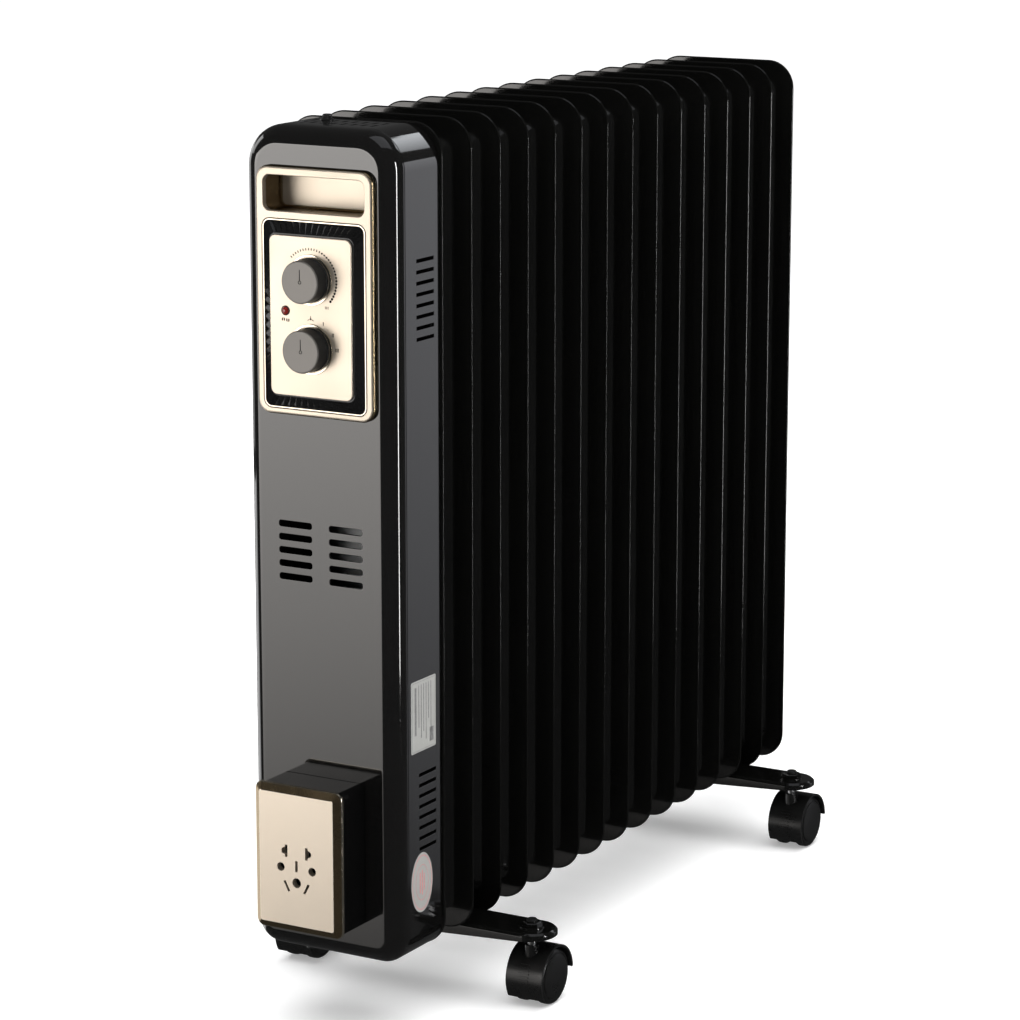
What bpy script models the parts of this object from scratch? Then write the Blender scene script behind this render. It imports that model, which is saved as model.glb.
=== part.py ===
"""Oil filled radiator heater, in metres, +Z up.

Fifteen pressed steel fins hang on two oil headers that run along Y. A control housing with a gold panel
and a socket box closes the front end, at -Y. Two pressed legs are held to the lower header by U-bolts and
carry four twin-wheel casters. The origin is on the floor, under the middle of the whole heater.
"""

import math

import bmesh
import bpy
from mathutils import Matrix, Vector

GAP = 0.0003  # left between pieces that touch
CUT = 0.001  # how far a cutter reaches past the face it opens
ROUND = 4  # steps around the quarter of a visible corner

# Fins: two welded sheets each, pressed out into an oil channel inside a flat rim.
FIN_COUNT = 15
FIN_PITCH = 0.039
FIN_WIDTH = 0.124
FIN_HEIGHT = 0.580
FIN_CORNER = 0.022
FIN_SHEETS = 0.002
FIN_RIM = 0.015
FIN_SLOPE = 0.006
FIN_BULGE = 0.006
BULGE_CORNER = 0.010
FLOOR_TO_FIN = 0.055
HUB_RADIUS = 0.018
HUB_BORE = 0.012
HUB_MARGIN = 0.006  # flat metal between the hub and the slope of the oil channel
HUB_FACE = 0.0045  # how far an end hub stands out from the oil channel

# Control housing
HOUSING_WIDTH = 0.120
HOUSING_SHORTER = 0.002  # than the fins
HOUSING_LIFT = 0.0010  # its lower edge above the fins' lower edge
HOUSING_DEPTH = 0.0587
HOUSING_TOP_CORNER = 0.028
HOUSING_LOW_CORNER = 0.018
FIRST_FIN = 0.060  # from the cover's front face to the middle of the first fin
COVER_DEPTH = 0.0145
COVER_EDGE = 0.013
COVER_WALL = 0.0025
SHELL_WALL = 0.0015
REAR_PLATE_FACE = 0.0514
REAR_PLATE_WALL = 0.0012

# Ventilation slots: length, height and pitch of each kind
FRONT_SLOT = (0.0265, 0.0044)
FRONT_SLOT_PITCH = 0.00925
FRONT_SLOT_ROWS = 5
FRONT_SLOT_COLUMN = 0.0203  # from the middle to a column's middle
FRONT_SLOT_DROP = 0.0767  # from the panel's bottom to the highest slot's middle
SIDE_SLOT = (0.0224, 0.0034)
SIDE_SLOT_PITCH = 0.0076
SIDE_SLOT_ROWS = 8
SIDE_SLOT_BACK = 0.0187  # from the slots' middle to the shell's back edge
SIDE_SLOT_UPPER = 0.116  # from the housing's top to the upper group's middle
SIDE_SLOT_LOWER = 0.105  # from the housing's bottom to the lower group's middle
TOP_SLOT = (0.0028, 0.009)
TOP_SLOT_PITCH = 0.008
TOP_SLOT_COLUMNS = 8
TOP_SLOT_ROWS = (0.028, 0.042)  # from the cover's front face to each row's middle

# Gold panel on the cover: frame, handle recess, black bezel, control plate
PANEL_WIDTH = 0.093
PANEL_HEIGHT = 0.169
PANEL_CORNER = 0.010
PANEL_PROUD = 0.0045
PANEL_TOP = 0.0265  # from the housing's top to the panel's top
PANEL_EDGE = 0.0035
GRIP_WIDTH = 0.080
GRIP_HEIGHT = 0.024
GRIP_CORNER = 0.005
GRIP_DEPTH = 0.023
GRIP_WALL = 0.0016
GRIP_FROM_TOP = 0.0183  # from the panel's top to the grip's middle
BEZEL_WIDTH = 0.082
BEZEL_HEIGHT = 0.129
BEZEL_CORNER = 0.006
BEZEL_FROM_BOTTOM = 0.0690  # from the panel's bottom to the bezel's middle
BEZEL_BAND = (0.0085, 0.0102)  # width of its sloped band: at the sides, and above and below
PLATE_PROUD = 0.0090
PLATE_WALL = 0.0014
PLATE_CORNER = 0.005
BEZEL_LEDGE = 0.001  # flat border of the bezel around the plate, both sides together
FRAME_RIM = 0.0004  # the bezel's outer edge below the frame's front face

# Controls
KNOB_RADIUS = 0.0150
KNOB_HEIGHT = 0.0125
KNOB_BORE_DEPTH = 0.009
THERMOSTAT_UP = 0.0255  # from the control plate's middle
SELECTOR_DOWN = 0.0215
SHAFT_RADIUS = 0.0030
SHAFT_IN_SWITCH = 0.008
SHAFT_CLEARANCE = 0.0004
SWITCH_SIZE = (0.034, 0.020, 0.034)
SWITCH_FACE = 0.0032  # from the cover's front face to a switch's front
LENS_RADIUS = 0.0026
LENS_PROUD = 0.0018
LENS_PLACE = (-0.0200, 0.0035)  # from the control plate's middle
LAMP_RADIUS = 0.0022
LAMP_LENGTH = 0.018

# Socket box on the lower front
SOCKET_WIDTH = 0.0707
SOCKET_HEIGHT = 0.1045
SOCKET_PROUD = 0.0350
SOCKET_PLATE = 0.0050
SOCKET_BEVEL = 0.0055
SOCKET_CORNER = 0.006
SOCKET_INSET = 0.0015  # the black box is this much smaller than its plate
SOCKET_WALL = 0.002
SOCKET_UP = 0.0787  # from the housing's bottom to the socket's middle
INSERT_SIZE = (0.044, 0.012, 0.044)
INSERT_BELOW = 0.0060  # the insert's middle below the plate's middle
ROUND_PIN = (0.0128, -0.0058, 0.0031)  # from the plate's middle: across, up, radius
EARTH_PIN = (0.0, -0.0158, 0.0035)
FLAT_PIN = (0.0083, 0.0062)
FLAT_SLOT = (0.0022, 0.0088)
FLAT_PIN_EYE = (0.0028, 0.0025)  # the round part beside the slot: offset, radius
EARTH_SLOT = (0.0, -0.0040, 0.0020, 0.0078)
SLANT_SLOT = (0.0080, -0.0190, 0.0018, 0.0080)
SLANT = math.radians(28)

# Heating element in the lower header
ELEMENT_RADIUS = 0.0038
ELEMENT_SPREAD = 0.0055
ELEMENT_END = 0.018  # its bend stays this far in front of the last fin
FLANGE_RADIUS = 0.0165
FLANGE_THICK = 0.010
TERMINAL_OUT = 0.008
PIPE_CLEARANCE = 0.0005

# Legs, U-bolts and wing nuts
LEG_LENGTH = 0.234
LEG_CLEARANCE = 0.0003  # to the fins' rims on both sides
LEG_RISE = 0.004  # its top above the fins' lower edge, between two rims
LEG_DEPTH = 0.010
LEG_END_DEPTH = 0.005
LEG_WALL = 0.002
LEG_AFTER_FIN = 2  # the front leg follows this fin, the rear one precedes its mirror
BOLT_RADIUS = 0.003
BOLT_CLEARANCE = 0.0006
BOLT_DROP = 0.012  # the bolt's ends below the leg's top
NUT_RADIUS = 0.0065
NUT_HEIGHT = 0.006
WING_SPAN = 0.026

# Casters
CASTER_FROM_END = 0.0184  # the swivel axis from the leg's end
WHEEL_RADIUS = 0.0205
WHEEL_SIDES = 16
WHEEL_WIDTH = 0.009
WHEEL_APART = 0.020
AXLE_RADIUS = 0.0020
TRAIL = 0.011
WHEEL_CLEARANCE = 0.0010  # between a wheel's tread and the hood
HOOD_WALL = 0.0015
HOOD_WEB = 0.0104
HOOD_OVERHANG = 0.0002
HOOD_CUT = math.radians(19)  # slant of the hood's lower edge
HOOD_CUT_DROP = 0.0064
BOSS_RADIUS = 0.0052
BOSS_TOP = 0.0255  # above the axle
STEM_RADIUS = 0.0030
STEM_IN_HOOD = 0.014
THREAD_RADIUS = 0.0040
COLLAR_RADIUS = 0.0070
COLLAR_HEIGHT = 0.0035
LOCK_NUT_RADIUS = 0.0075
LOCK_NUT_HEIGHT = 0.0045
THREAD_OVER_NUT = 0.0015

# Small pieces
TIP_SWITCH_SIZE = (0.022, 0.014, 0.030)
CUTOUT_RADIUS = 0.0085
CUTOUT_THICK = 0.006
GLAND_RADIUS = 0.0075
GLAND_BORE = 0.0040
GLAND_DROP = 0.008
PLUG_RADIUS = 0.0085
PLUG_THICK = 0.005

# Sizes and places that follow from the ones above
HOUSING_HEIGHT = FIN_HEIGHT - HOUSING_SHORTER
LEG_HALF_WIDTH = (FIN_PITCH - FIN_SHEETS) / 2 - LEG_CLEARANCE
LAST_FIN = FIRST_FIN + (FIN_COUNT - 1) * FIN_PITCH
FIN_HALF = FIN_SHEETS / 2 + FIN_BULGE
BACK_END = LAST_FIN + FIN_HALF + HUB_FACE + GAP + PLUG_THICK
FRONT_Y = (SOCKET_PROUD - BACK_END) / 2  # the cover's front face, with the whole heater centred
FIN_MIDDLE = FLOOR_TO_FIN + FIN_HEIGHT / 2
HUB_INSET = FIN_RIM + FIN_SLOPE + HUB_MARGIN + HUB_RADIUS
LOW_HEADER = FLOOR_TO_FIN + HUB_INSET
HIGH_HEADER = FLOOR_TO_FIN + FIN_HEIGHT - HUB_INSET
HOUSING_BOTTOM = FLOOR_TO_FIN + HOUSING_LIFT
HOUSING_TOP = HOUSING_BOTTOM + HOUSING_HEIGHT
PANEL_MIDDLE = HOUSING_TOP - PANEL_TOP - PANEL_HEIGHT / 2
GRIP_MIDDLE = PANEL_MIDDLE + PANEL_HEIGHT / 2 - GRIP_FROM_TOP
PLATE_MIDDLE = PANEL_MIDDLE - PANEL_HEIGHT / 2 + BEZEL_FROM_BOTTOM
PLATE_SIZE = (BEZEL_WIDTH - 2 * BEZEL_BAND[0], BEZEL_HEIGHT - 2 * BEZEL_BAND[1])
SOCKET_MIDDLE = HOUSING_BOTTOM + SOCKET_UP
LEG_TOP = FLOOR_TO_FIN + LEG_RISE
BOLT_SPREAD = HUB_RADIUS + BOLT_RADIUS + BOLT_CLEARANCE
CASTER_OFFSET = LEG_LENGTH / 2 - CASTER_FROM_END
ALONG_X = (0, math.pi / 2, 0)  # lays a lathe's axis along X

parts = None
cutters = None


def start_scene():
    """Empties the scene and makes the two collections."""
    global parts, cutters
    for old in list(bpy.data.objects):
        bpy.data.objects.remove(old, do_unlink=True)
    parts = bpy.data.collections.new("oil_filled_radiator_heater")
    cutters = bpy.data.collections.new("cutters")
    bpy.context.scene.collection.children.link(parts)
    bpy.context.scene.collection.children.link(cutters)


def depth(distance):
    """World Y at this distance behind the cover's front face; minus is in front of it."""
    return FRONT_Y + distance


def material(name, colour, roughness, metallic=0.0):
    found = bpy.data.materials.get(name)
    if found:
        return found
    made = bpy.data.materials.new(name)
    made.use_nodes = True
    shader = made.node_tree.nodes["Principled BSDF"]
    shader.inputs["Base Color"].default_value = (*colour, 1.0)
    shader.inputs["Roughness"].default_value = roughness
    shader.inputs["Metallic"].default_value = metallic
    return made


def black_enamel():
    return material("black_enamel", (0.010, 0.010, 0.011), 0.22)


def gloss_black():
    return material("gloss_black", (0.008, 0.008, 0.009), 0.12)


def satin_black():
    return material("satin_black", (0.020, 0.020, 0.021), 0.42)


def gold():
    return material("champagne_gold", (0.78, 0.64, 0.44), 0.30, 0.85)


def steel():
    return material("bright_steel", (0.62, 0.62, 0.63), 0.28, 1.0)


def place(mesh, name, paint, collection=None, at=(0, 0, 0), parent=None):
    """An object of this mesh. Its place is in its parent's own axes when it has one."""
    made = bpy.data.objects.new(name, mesh)
    made.location = at
    made.parent = parent
    if paint:
        mesh.materials.clear()
        mesh.materials.append(paint)
    (collection or parts).objects.link(made)
    return made


def to_mesh(shape, name, smooth=True):
    mesh = bpy.data.meshes.new(name)
    bmesh.ops.recalc_face_normals(shape, faces=shape.faces)
    shape.to_mesh(mesh)
    shape.free()
    if smooth:
        mesh.shade_smooth()
        mesh.set_sharp_from_angle(angle=math.radians(35))
    return mesh


def rounded(width, height, corners, steps=ROUND):
    """Corner points of a rounded rectangle in X and Z. corners is one radius, or (upper, lower)."""
    upper, lower = corners if isinstance(corners, tuple) else (corners, corners)
    outline = []
    for sign_x, sign_z, turn in ((1, 1, 0), (-1, 1, 1), (-1, -1, 2), (1, -1, 3)):
        radius = upper if sign_z > 0 else lower
        middle = (sign_x * (width / 2 - radius), sign_z * (height / 2 - radius))
        for step in range(steps + 1):
            angle = math.pi / 2 * (turn + step / steps)
            outline.append((middle[0] + radius * math.cos(angle), middle[1] + radius * math.sin(angle)))
    return outline


def loft(*sections):
    """A closed body through sections of (outline, y), whose outlines have equally many points."""
    shape = bmesh.new()
    rings = [[shape.verts.new((x, y, z)) for x, z in outline] for outline, y in sections]
    for ring, following in zip(rings, rings[1:]):
        for step in range(len(ring)):
            after = (step + 1) % len(ring)
            shape.faces.new((ring[step], ring[after], following[after], following[step]))
    shape.faces.new(rings[0])
    shape.faces.new(list(reversed(rings[-1])))
    bmesh.ops.recalc_face_normals(shape, faces=shape.faces)
    return shape


def slab(outline, front, back):
    """The outline from front to back along Y."""
    return loft((outline, front), (outline, back))


def add_box(shape, size, middle, turn=None):
    matrix = Matrix.Translation(Vector(middle)) @ (turn or Matrix()) @ Matrix.Diagonal((*size, 1.0))
    bmesh.ops.create_cube(shape, size=1.0, matrix=matrix)


def add_rod(shape, radius, start, end, sides=16, end_radius=None, spin=0.0):
    """A cylinder, or a cone, from start to end."""
    start, end = Vector(start), Vector(end)
    along = end - start
    turn = along.to_track_quat("Z", "Y").to_matrix().to_4x4() @ Matrix.Rotation(spin, 4, "Z")
    bmesh.ops.create_cone(
        shape,
        cap_ends=True,
        segments=sides,
        radius1=radius,
        radius2=radius if end_radius is None else end_radius,
        depth=along.length,
        matrix=Matrix.Translation((start + end) / 2) @ turn,
    )


def helper(shape, name, parent=None, at=(0, 0, 0)):
    """A cutter or a piece to join: it is drawn as wire and isn't rendered."""
    made = place(to_mesh(shape, name, smooth=False), name, None, cutters, at, parent)
    made.hide_render = True
    made.display_type = "WIRE"
    return made


def boolean(target, other, operation):
    change = target.modifiers.new(f"{operation.lower()} {other.name}", "BOOLEAN")
    change.operation = operation
    change.object = other
    change.solver = "EXACT"
    return change


def cut(target, *others):
    for other in others:
        boolean(target, other, "DIFFERENCE")


def join(target, *others):
    for other in others:
        boolean(target, other, "UNION")


def settled(made):
    """The object's mesh with its modifiers applied, so that copies can share it."""
    graph = bpy.context.evaluated_depsgraph_get()
    bpy.context.view_layer.update()
    mesh = bpy.data.meshes.new_from_object(made.evaluated_get(graph))
    mesh.name = made.name
    return mesh


def empty(name, at, parent=None):
    made = bpy.data.objects.new(name, None)
    made.empty_display_size = 0.02
    made.location = at
    made.parent = parent
    parts.objects.link(made)
    return made


def turned(name, profile, sides, paint, parent, spin=0.0):
    """A body turned about its Z axis from (radius, height) points, bottom to top, both ends on the axis."""
    shape = bmesh.new()
    points = [
        shape.verts.new((radius * math.cos(spin), radius * math.sin(spin), height))
        for radius, height in reversed(profile)
    ]
    for first, second in zip(points, points[1:]):
        shape.edges.new((first, second))
    mesh = bpy.data.meshes.new(name)
    shape.to_mesh(mesh)
    shape.free()
    made = place(mesh, name, paint, parent=parent)
    screw = made.modifiers.new("turn", "SCREW")
    screw.steps = screw.render_steps = sides
    screw.use_merge_vertices = True
    screw.merge_threshold = 0.00001
    return made


# ---------------------------------------------------------------- fins and oil circuit


def fin_shape(name, front_hub, back_hub, bore_front, bore_back):
    """One fin about its own middle. Hubs reach front_hub and back_hub from the middle of its sheets."""
    rim, foot, top = (
        rounded(FIN_WIDTH - 2 * inset, FIN_HEIGHT - 2 * inset, corner)
        for inset, corner in (
            (0, FIN_CORNER),
            (FIN_RIM, BULGE_CORNER),
            (FIN_RIM + FIN_SLOPE, BULGE_CORNER / 2),
        )
    )
    sheet = FIN_SHEETS / 2
    shape = loft(
        (top, -FIN_HALF), (foot, -sheet), (rim, -sheet), (rim, sheet), (foot, sheet), (top, FIN_HALF)
    )
    fin = place(to_mesh(shape, name), name, black_enamel())
    hubs = bmesh.new()
    for height in (HUB_INSET - FIN_HEIGHT / 2, FIN_HEIGHT / 2 - HUB_INSET):
        add_rod(hubs, HUB_RADIUS, (0, -front_hub, height), (0, back_hub, height), 12)
    join(fin, helper(hubs, f"{name}_hubs"))
    bore = bmesh.new()
    low = HUB_INSET - FIN_HEIGHT / 2
    add_rod(bore, HUB_BORE, (0, -bore_front, low), (0, bore_back, low), 12)
    cut(fin, helper(bore, f"{name}_bore"))
    return fin


def make_fins():
    half_hub = FIN_PITCH / 2 - GAP / 2
    end_hub = FIN_HALF + HUB_FACE
    blind = FIN_SHEETS / 2
    made = [
        fin_shape("fin_01", end_hub, half_hub, end_hub + CUT, half_hub + CUT),
        fin_shape("fin_02", half_hub, half_hub, half_hub + CUT, half_hub + CUT),
        fin_shape(f"fin_{FIN_COUNT:02d}", half_hub, end_hub, half_hub + CUT, blind),
    ]
    shared = settled(made[1])
    made[1].modifiers.clear()
    made[1].data = shared
    for number in range(3, FIN_COUNT):
        made.append(place(shared, f"fin_{number:02d}", None))
    for fin in made:
        number = int(fin.name[-2:])
        fin.location = (0, depth(FIRST_FIN + (number - 1) * FIN_PITCH), FIN_MIDDLE)
        for change in fin.modifiers:
            change.object.location = fin.location
            change.object.parent = None


def make_element():
    """The U-shaped tube heater and the flange that closes the lower header around it."""
    hub_face = FIRST_FIN - FIN_HALF - HUB_FACE
    start = depth(hub_face - GAP - FLANGE_THICK - TERMINAL_OUT)
    bend = depth(LAST_FIN - ELEMENT_END)
    route = [(-ELEMENT_SPREAD, start), (-ELEMENT_SPREAD, bend)]
    route += [
        (-ELEMENT_SPREAD * math.cos(a), bend + ELEMENT_SPREAD * math.sin(a))
        for a in (math.pi * step / 6 for step in range(1, 6))
    ]
    route += [(ELEMENT_SPREAD, bend), (ELEMENT_SPREAD, start)]
    wire("heating_element", [(x, y, LOW_HEADER) for x, y in route], ELEMENT_RADIUS, steel())

    front = hub_face - GAP - FLANGE_THICK
    shape = bmesh.new()
    add_rod(shape, FLANGE_RADIUS, (0, depth(front), LOW_HEADER), (0, depth(hub_face - GAP), LOW_HEADER), 6)
    flange = place(to_mesh(shape, "element_flange"), "element_flange", steel())
    holes = bmesh.new()
    for side in (-1, 1):
        x = side * ELEMENT_SPREAD
        add_rod(
            holes,
            ELEMENT_RADIUS + PIPE_CLEARANCE,
            (x, depth(front) - CUT, LOW_HEADER),
            (x, depth(hub_face) + CUT, LOW_HEADER),
            12,
        )
    cut(flange, helper(holes, "element_holes"))


def wire(name, points, radius, paint):
    """A tube through the points, made a mesh whose caps are welded."""
    curve = bpy.data.curves.new(name, "CURVE")
    curve.dimensions = "3D"
    curve.bevel_depth = radius
    curve.bevel_resolution = 2
    curve.use_fill_caps = True
    line = curve.splines.new("POLY")
    line.points.add(len(points) - 1)
    for point, place_at in zip(line.points, points):
        point.co = (*place_at, 1.0)
    guide = bpy.data.objects.new(f"{name}_guide", curve)
    parts.objects.link(guide)
    mesh = settled(guide)
    shape = bmesh.new()
    shape.from_mesh(mesh)
    bmesh.ops.remove_doubles(shape, verts=shape.verts, dist=0.00001)
    mesh = to_mesh(shape, name)
    bpy.data.objects.remove(guide, do_unlink=True)
    return place(mesh, name, paint)


def make_oil_plug():
    """Filler plug on the last fin's upper hub."""
    y = depth(LAST_FIN + FIN_HALF + HUB_FACE + GAP)
    shape = bmesh.new()
    add_rod(shape, PLUG_RADIUS, (0, y, HIGH_HEADER), (0, y + PLUG_THICK, HIGH_HEADER), 6)
    place(to_mesh(shape, "oil_filler_plug"), "oil_filler_plug", satin_black())


# ---------------------------------------------------------------- control housing


def housing_outline(shrink=0.0, steps=ROUND):
    """The housing's rounded outline, smaller all round by shrink."""
    corners = (HOUSING_TOP_CORNER - shrink, HOUSING_LOW_CORNER - shrink)
    return rounded(HOUSING_WIDTH - 2 * shrink, HOUSING_HEIGHT - 2 * shrink, corners, steps)


def at_housing(made):
    made.location = (0, FRONT_Y, (HOUSING_TOP + HOUSING_BOTTOM) / 2)
    return made


def open_ring(shape, outline, front, back):
    """A band without thickness along the outline, from front to back."""
    low = [shape.verts.new((x, front, z)) for x, z in outline]
    edges = [shape.edges.new((a, b)) for a, b in zip(low, low[1:] + low[:1])]
    grown = bmesh.ops.extrude_edge_only(shape, edges=edges)
    moved = [v for v in grown["geom"] if isinstance(v, bmesh.types.BMVert)]
    bmesh.ops.translate(shape, vec=(0, back - front, 0), verts=moved)


def thicken(made, wall):
    change = made.modifiers.new("wall", "SOLIDIFY")
    change.thickness = wall
    change.offset = -1
    change.use_even_offset = True


def make_shell():
    """The steel sleeve behind the cover, with slots in both sides and in the top."""
    shape = bmesh.new()
    open_ring(shape, housing_outline(), COVER_DEPTH + GAP, HOUSING_DEPTH)
    shell = at_housing(place(to_mesh(shape, "side_shell"), "side_shell", gloss_black()))
    thicken(shell, SHELL_WALL)
    slots = bmesh.new()
    half = HOUSING_HEIGHT / 2
    y = HOUSING_DEPTH - SIDE_SLOT_BACK
    for middle in (half - SIDE_SLOT_UPPER, SIDE_SLOT_LOWER - half):
        for row in range(SIDE_SLOT_ROWS):
            z = middle + (row - (SIDE_SLOT_ROWS - 1) / 2) * SIDE_SLOT_PITCH
            for side in (-1, 1):
                x = side * (HOUSING_WIDTH - SHELL_WALL) / 2
                add_box(slots, (SHELL_WALL + 2 * CUT, *SIDE_SLOT), (x, y, z))
    for column in range(TOP_SLOT_COLUMNS):
        x = (column - (TOP_SLOT_COLUMNS - 1) / 2) * TOP_SLOT_PITCH
        for row in TOP_SLOT_ROWS:
            add_box(slots, (*TOP_SLOT, SHELL_WALL + 2 * CUT), (x, row, half - SHELL_WALL / 2))
    cut(shell, at_housing(helper(slots, "shell_slots")))
    gland_hole = bmesh.new()
    add_rod(gland_hole, GLAND_BORE + GAP, (0, 0, -GLAND_DROP), (0, 0, GLAND_DROP), 12)
    cut(shell, helper(gland_hole, "gland_hole", at=gland_place()))


def gland_place():
    return (-HOUSING_WIDTH / 4, depth((COVER_DEPTH + REAR_PLATE_FACE) / 2), HOUSING_BOTTOM)


def make_gland():
    """The ring that a mains lead would come out of, under the housing."""
    x, y, z = gland_place()
    top = z - GAP
    shape = bmesh.new()
    add_rod(shape, GLAND_RADIUS * 0.8, (x, y, top - GLAND_DROP), (x, y, top), 16, GLAND_RADIUS)
    gland = place(to_mesh(shape, "cord_gland"), "cord_gland", satin_black())
    bore = bmesh.new()
    add_rod(bore, GLAND_BORE, (x, y, top - GLAND_DROP - CUT), (x, y, top + CUT), 12)
    cut(gland, helper(bore, "gland_bore"))


def make_cover():
    """The dished front cover: a rounded face, an edge that turns back to the shell, and its openings."""
    outline = housing_outline()
    shape = bmesh.new()
    open_ring(shape, outline, 0.0, COVER_DEPTH)
    rim = [e for e in shape.edges if e.is_boundary and all(v.co.y < COVER_DEPTH / 2 for v in e.verts)]
    bmesh.ops.contextual_create(shape, geom=rim)
    bmesh.ops.bevel(
        shape, geom=rim, offset=COVER_EDGE, segments=4, profile=0.5, affect="EDGES", clamp_overlap=True
    )
    cover = at_housing(place(to_mesh(shape, "front_cover"), "front_cover", gloss_black()))
    thicken(cover, COVER_WALL)
    wall = (-CUT, COVER_WALL + CUT)

    slots = bmesh.new()
    top_row = PANEL_MIDDLE - PANEL_HEIGHT / 2 - FRONT_SLOT_DROP
    for row in range(FRONT_SLOT_ROWS):
        z = top_row - row * FRONT_SLOT_PITCH
        for side in (-1, 1):
            size = (FRONT_SLOT[0], COVER_WALL + 2 * CUT, FRONT_SLOT[1])
            add_box(slots, size, (side * FRONT_SLOT_COLUMN, depth(COVER_WALL / 2), z))
    cut(cover, helper(slots, "cover_slots"))

    reach = GRIP_WALL + 2 * GAP
    grip = slab(rounded(GRIP_WIDTH + 2 * reach, GRIP_HEIGHT + 2 * reach, GRIP_CORNER + reach), *wall)
    cut(cover, helper(grip, "grip_hole", at=(0, FRONT_Y, GRIP_MIDDLE)))
    cut(cover, control_holes("cover_holes", *wall))


def control_holes(name, front, back, shaft_clearance=SHAFT_CLEARANCE):
    """Cutters for the two shafts and the lamp, through a wall between front and back."""
    holes = bmesh.new()
    for x, z, radius in (
        (0.0, THERMOSTAT_UP, SHAFT_RADIUS + shaft_clearance),
        (0.0, -SELECTOR_DOWN, SHAFT_RADIUS + shaft_clearance),
        (*LENS_PLACE, LENS_RADIUS + GAP),
    ):
        add_rod(holes, radius, (x, depth(front), PLATE_MIDDLE + z), (x, depth(back), PLATE_MIDDLE + z), 12)
    return helper(holes, name)


def make_panel():
    """Gold frame, grip recess, black bezel and gold control plate, from the cover outwards."""
    panel = rounded(PANEL_WIDTH, PANEL_HEIGHT, PANEL_CORNER)
    panel_face = rounded(PANEL_WIDTH - PANEL_EDGE, PANEL_HEIGHT - PANEL_EDGE, PANEL_CORNER - PANEL_EDGE / 2)
    frame_shape = loft((panel_face, -PANEL_PROUD), (panel, -PANEL_PROUD / 2), (panel, -GAP))
    frame = place(to_mesh(frame_shape, "panel_frame"), "panel_frame", gold(), at=(0, FRONT_Y, PANEL_MIDDLE))
    through = (-PANEL_PROUD - CUT, CUT)
    grip = slab(rounded(GRIP_WIDTH, GRIP_HEIGHT, GRIP_CORNER), *through)
    cut(frame, helper(grip, "frame_grip_hole", at=(0, FRONT_Y, GRIP_MIDDLE)))
    window = slab(rounded(BEZEL_WIDTH, BEZEL_HEIGHT, BEZEL_CORNER), *through)
    cut(frame, helper(window, "frame_window", at=(0, FRONT_Y, PLATE_MIDDLE)))

    outer = (GRIP_WIDTH + 2 * (GRIP_WALL + GAP), GRIP_HEIGHT + 2 * (GRIP_WALL + GAP))
    back = GRIP_DEPTH - PANEL_PROUD
    cup_shape = slab(rounded(*outer, GRIP_CORNER + GRIP_WALL + GAP), 0.0, back + GRIP_WALL)
    cup = place(to_mesh(cup_shape, "handle_cup"), "handle_cup", gold(), at=(0, FRONT_Y, GRIP_MIDDLE))
    hollow = slab(rounded(GRIP_WIDTH + 2 * GAP, GRIP_HEIGHT + 2 * GAP, GRIP_CORNER + GAP), -CUT, back)
    cut(cup, helper(hollow, "cup_hollow", at=(0, FRONT_Y, GRIP_MIDDLE)))

    bezel_outer = rounded(BEZEL_WIDTH - 2 * GAP, BEZEL_HEIGHT - 2 * GAP, BEZEL_CORNER - GAP)
    bezel_inner = rounded(PLATE_SIZE[0] + BEZEL_LEDGE, PLATE_SIZE[1] + BEZEL_LEDGE, PLATE_CORNER)
    bezel_front = PLATE_WALL + GAP - PLATE_PROUD
    bezel_shape = loft(
        (bezel_inner, bezel_front), (bezel_outer, FRAME_RIM - PANEL_PROUD), (bezel_outer, -GAP)
    )
    bezel = place(
        to_mesh(bezel_shape, "fluted_bezel"), "fluted_bezel", satin_black(), at=(0, FRONT_Y, PLATE_MIDDLE)
    )
    cut(bezel, control_holes("bezel_holes", -PLATE_PROUD, CUT))

    plate_shape = slab(rounded(*PLATE_SIZE, PLATE_CORNER), -PLATE_PROUD, PLATE_WALL - PLATE_PROUD)
    plate = place(
        to_mesh(plate_shape, "control_plate"), "control_plate", gold(), at=(0, FRONT_Y, PLATE_MIDDLE)
    )
    cut(plate, control_holes("plate_holes", -PLATE_PROUD - CUT, PLATE_WALL - PLATE_PROUD + CUT))


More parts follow.
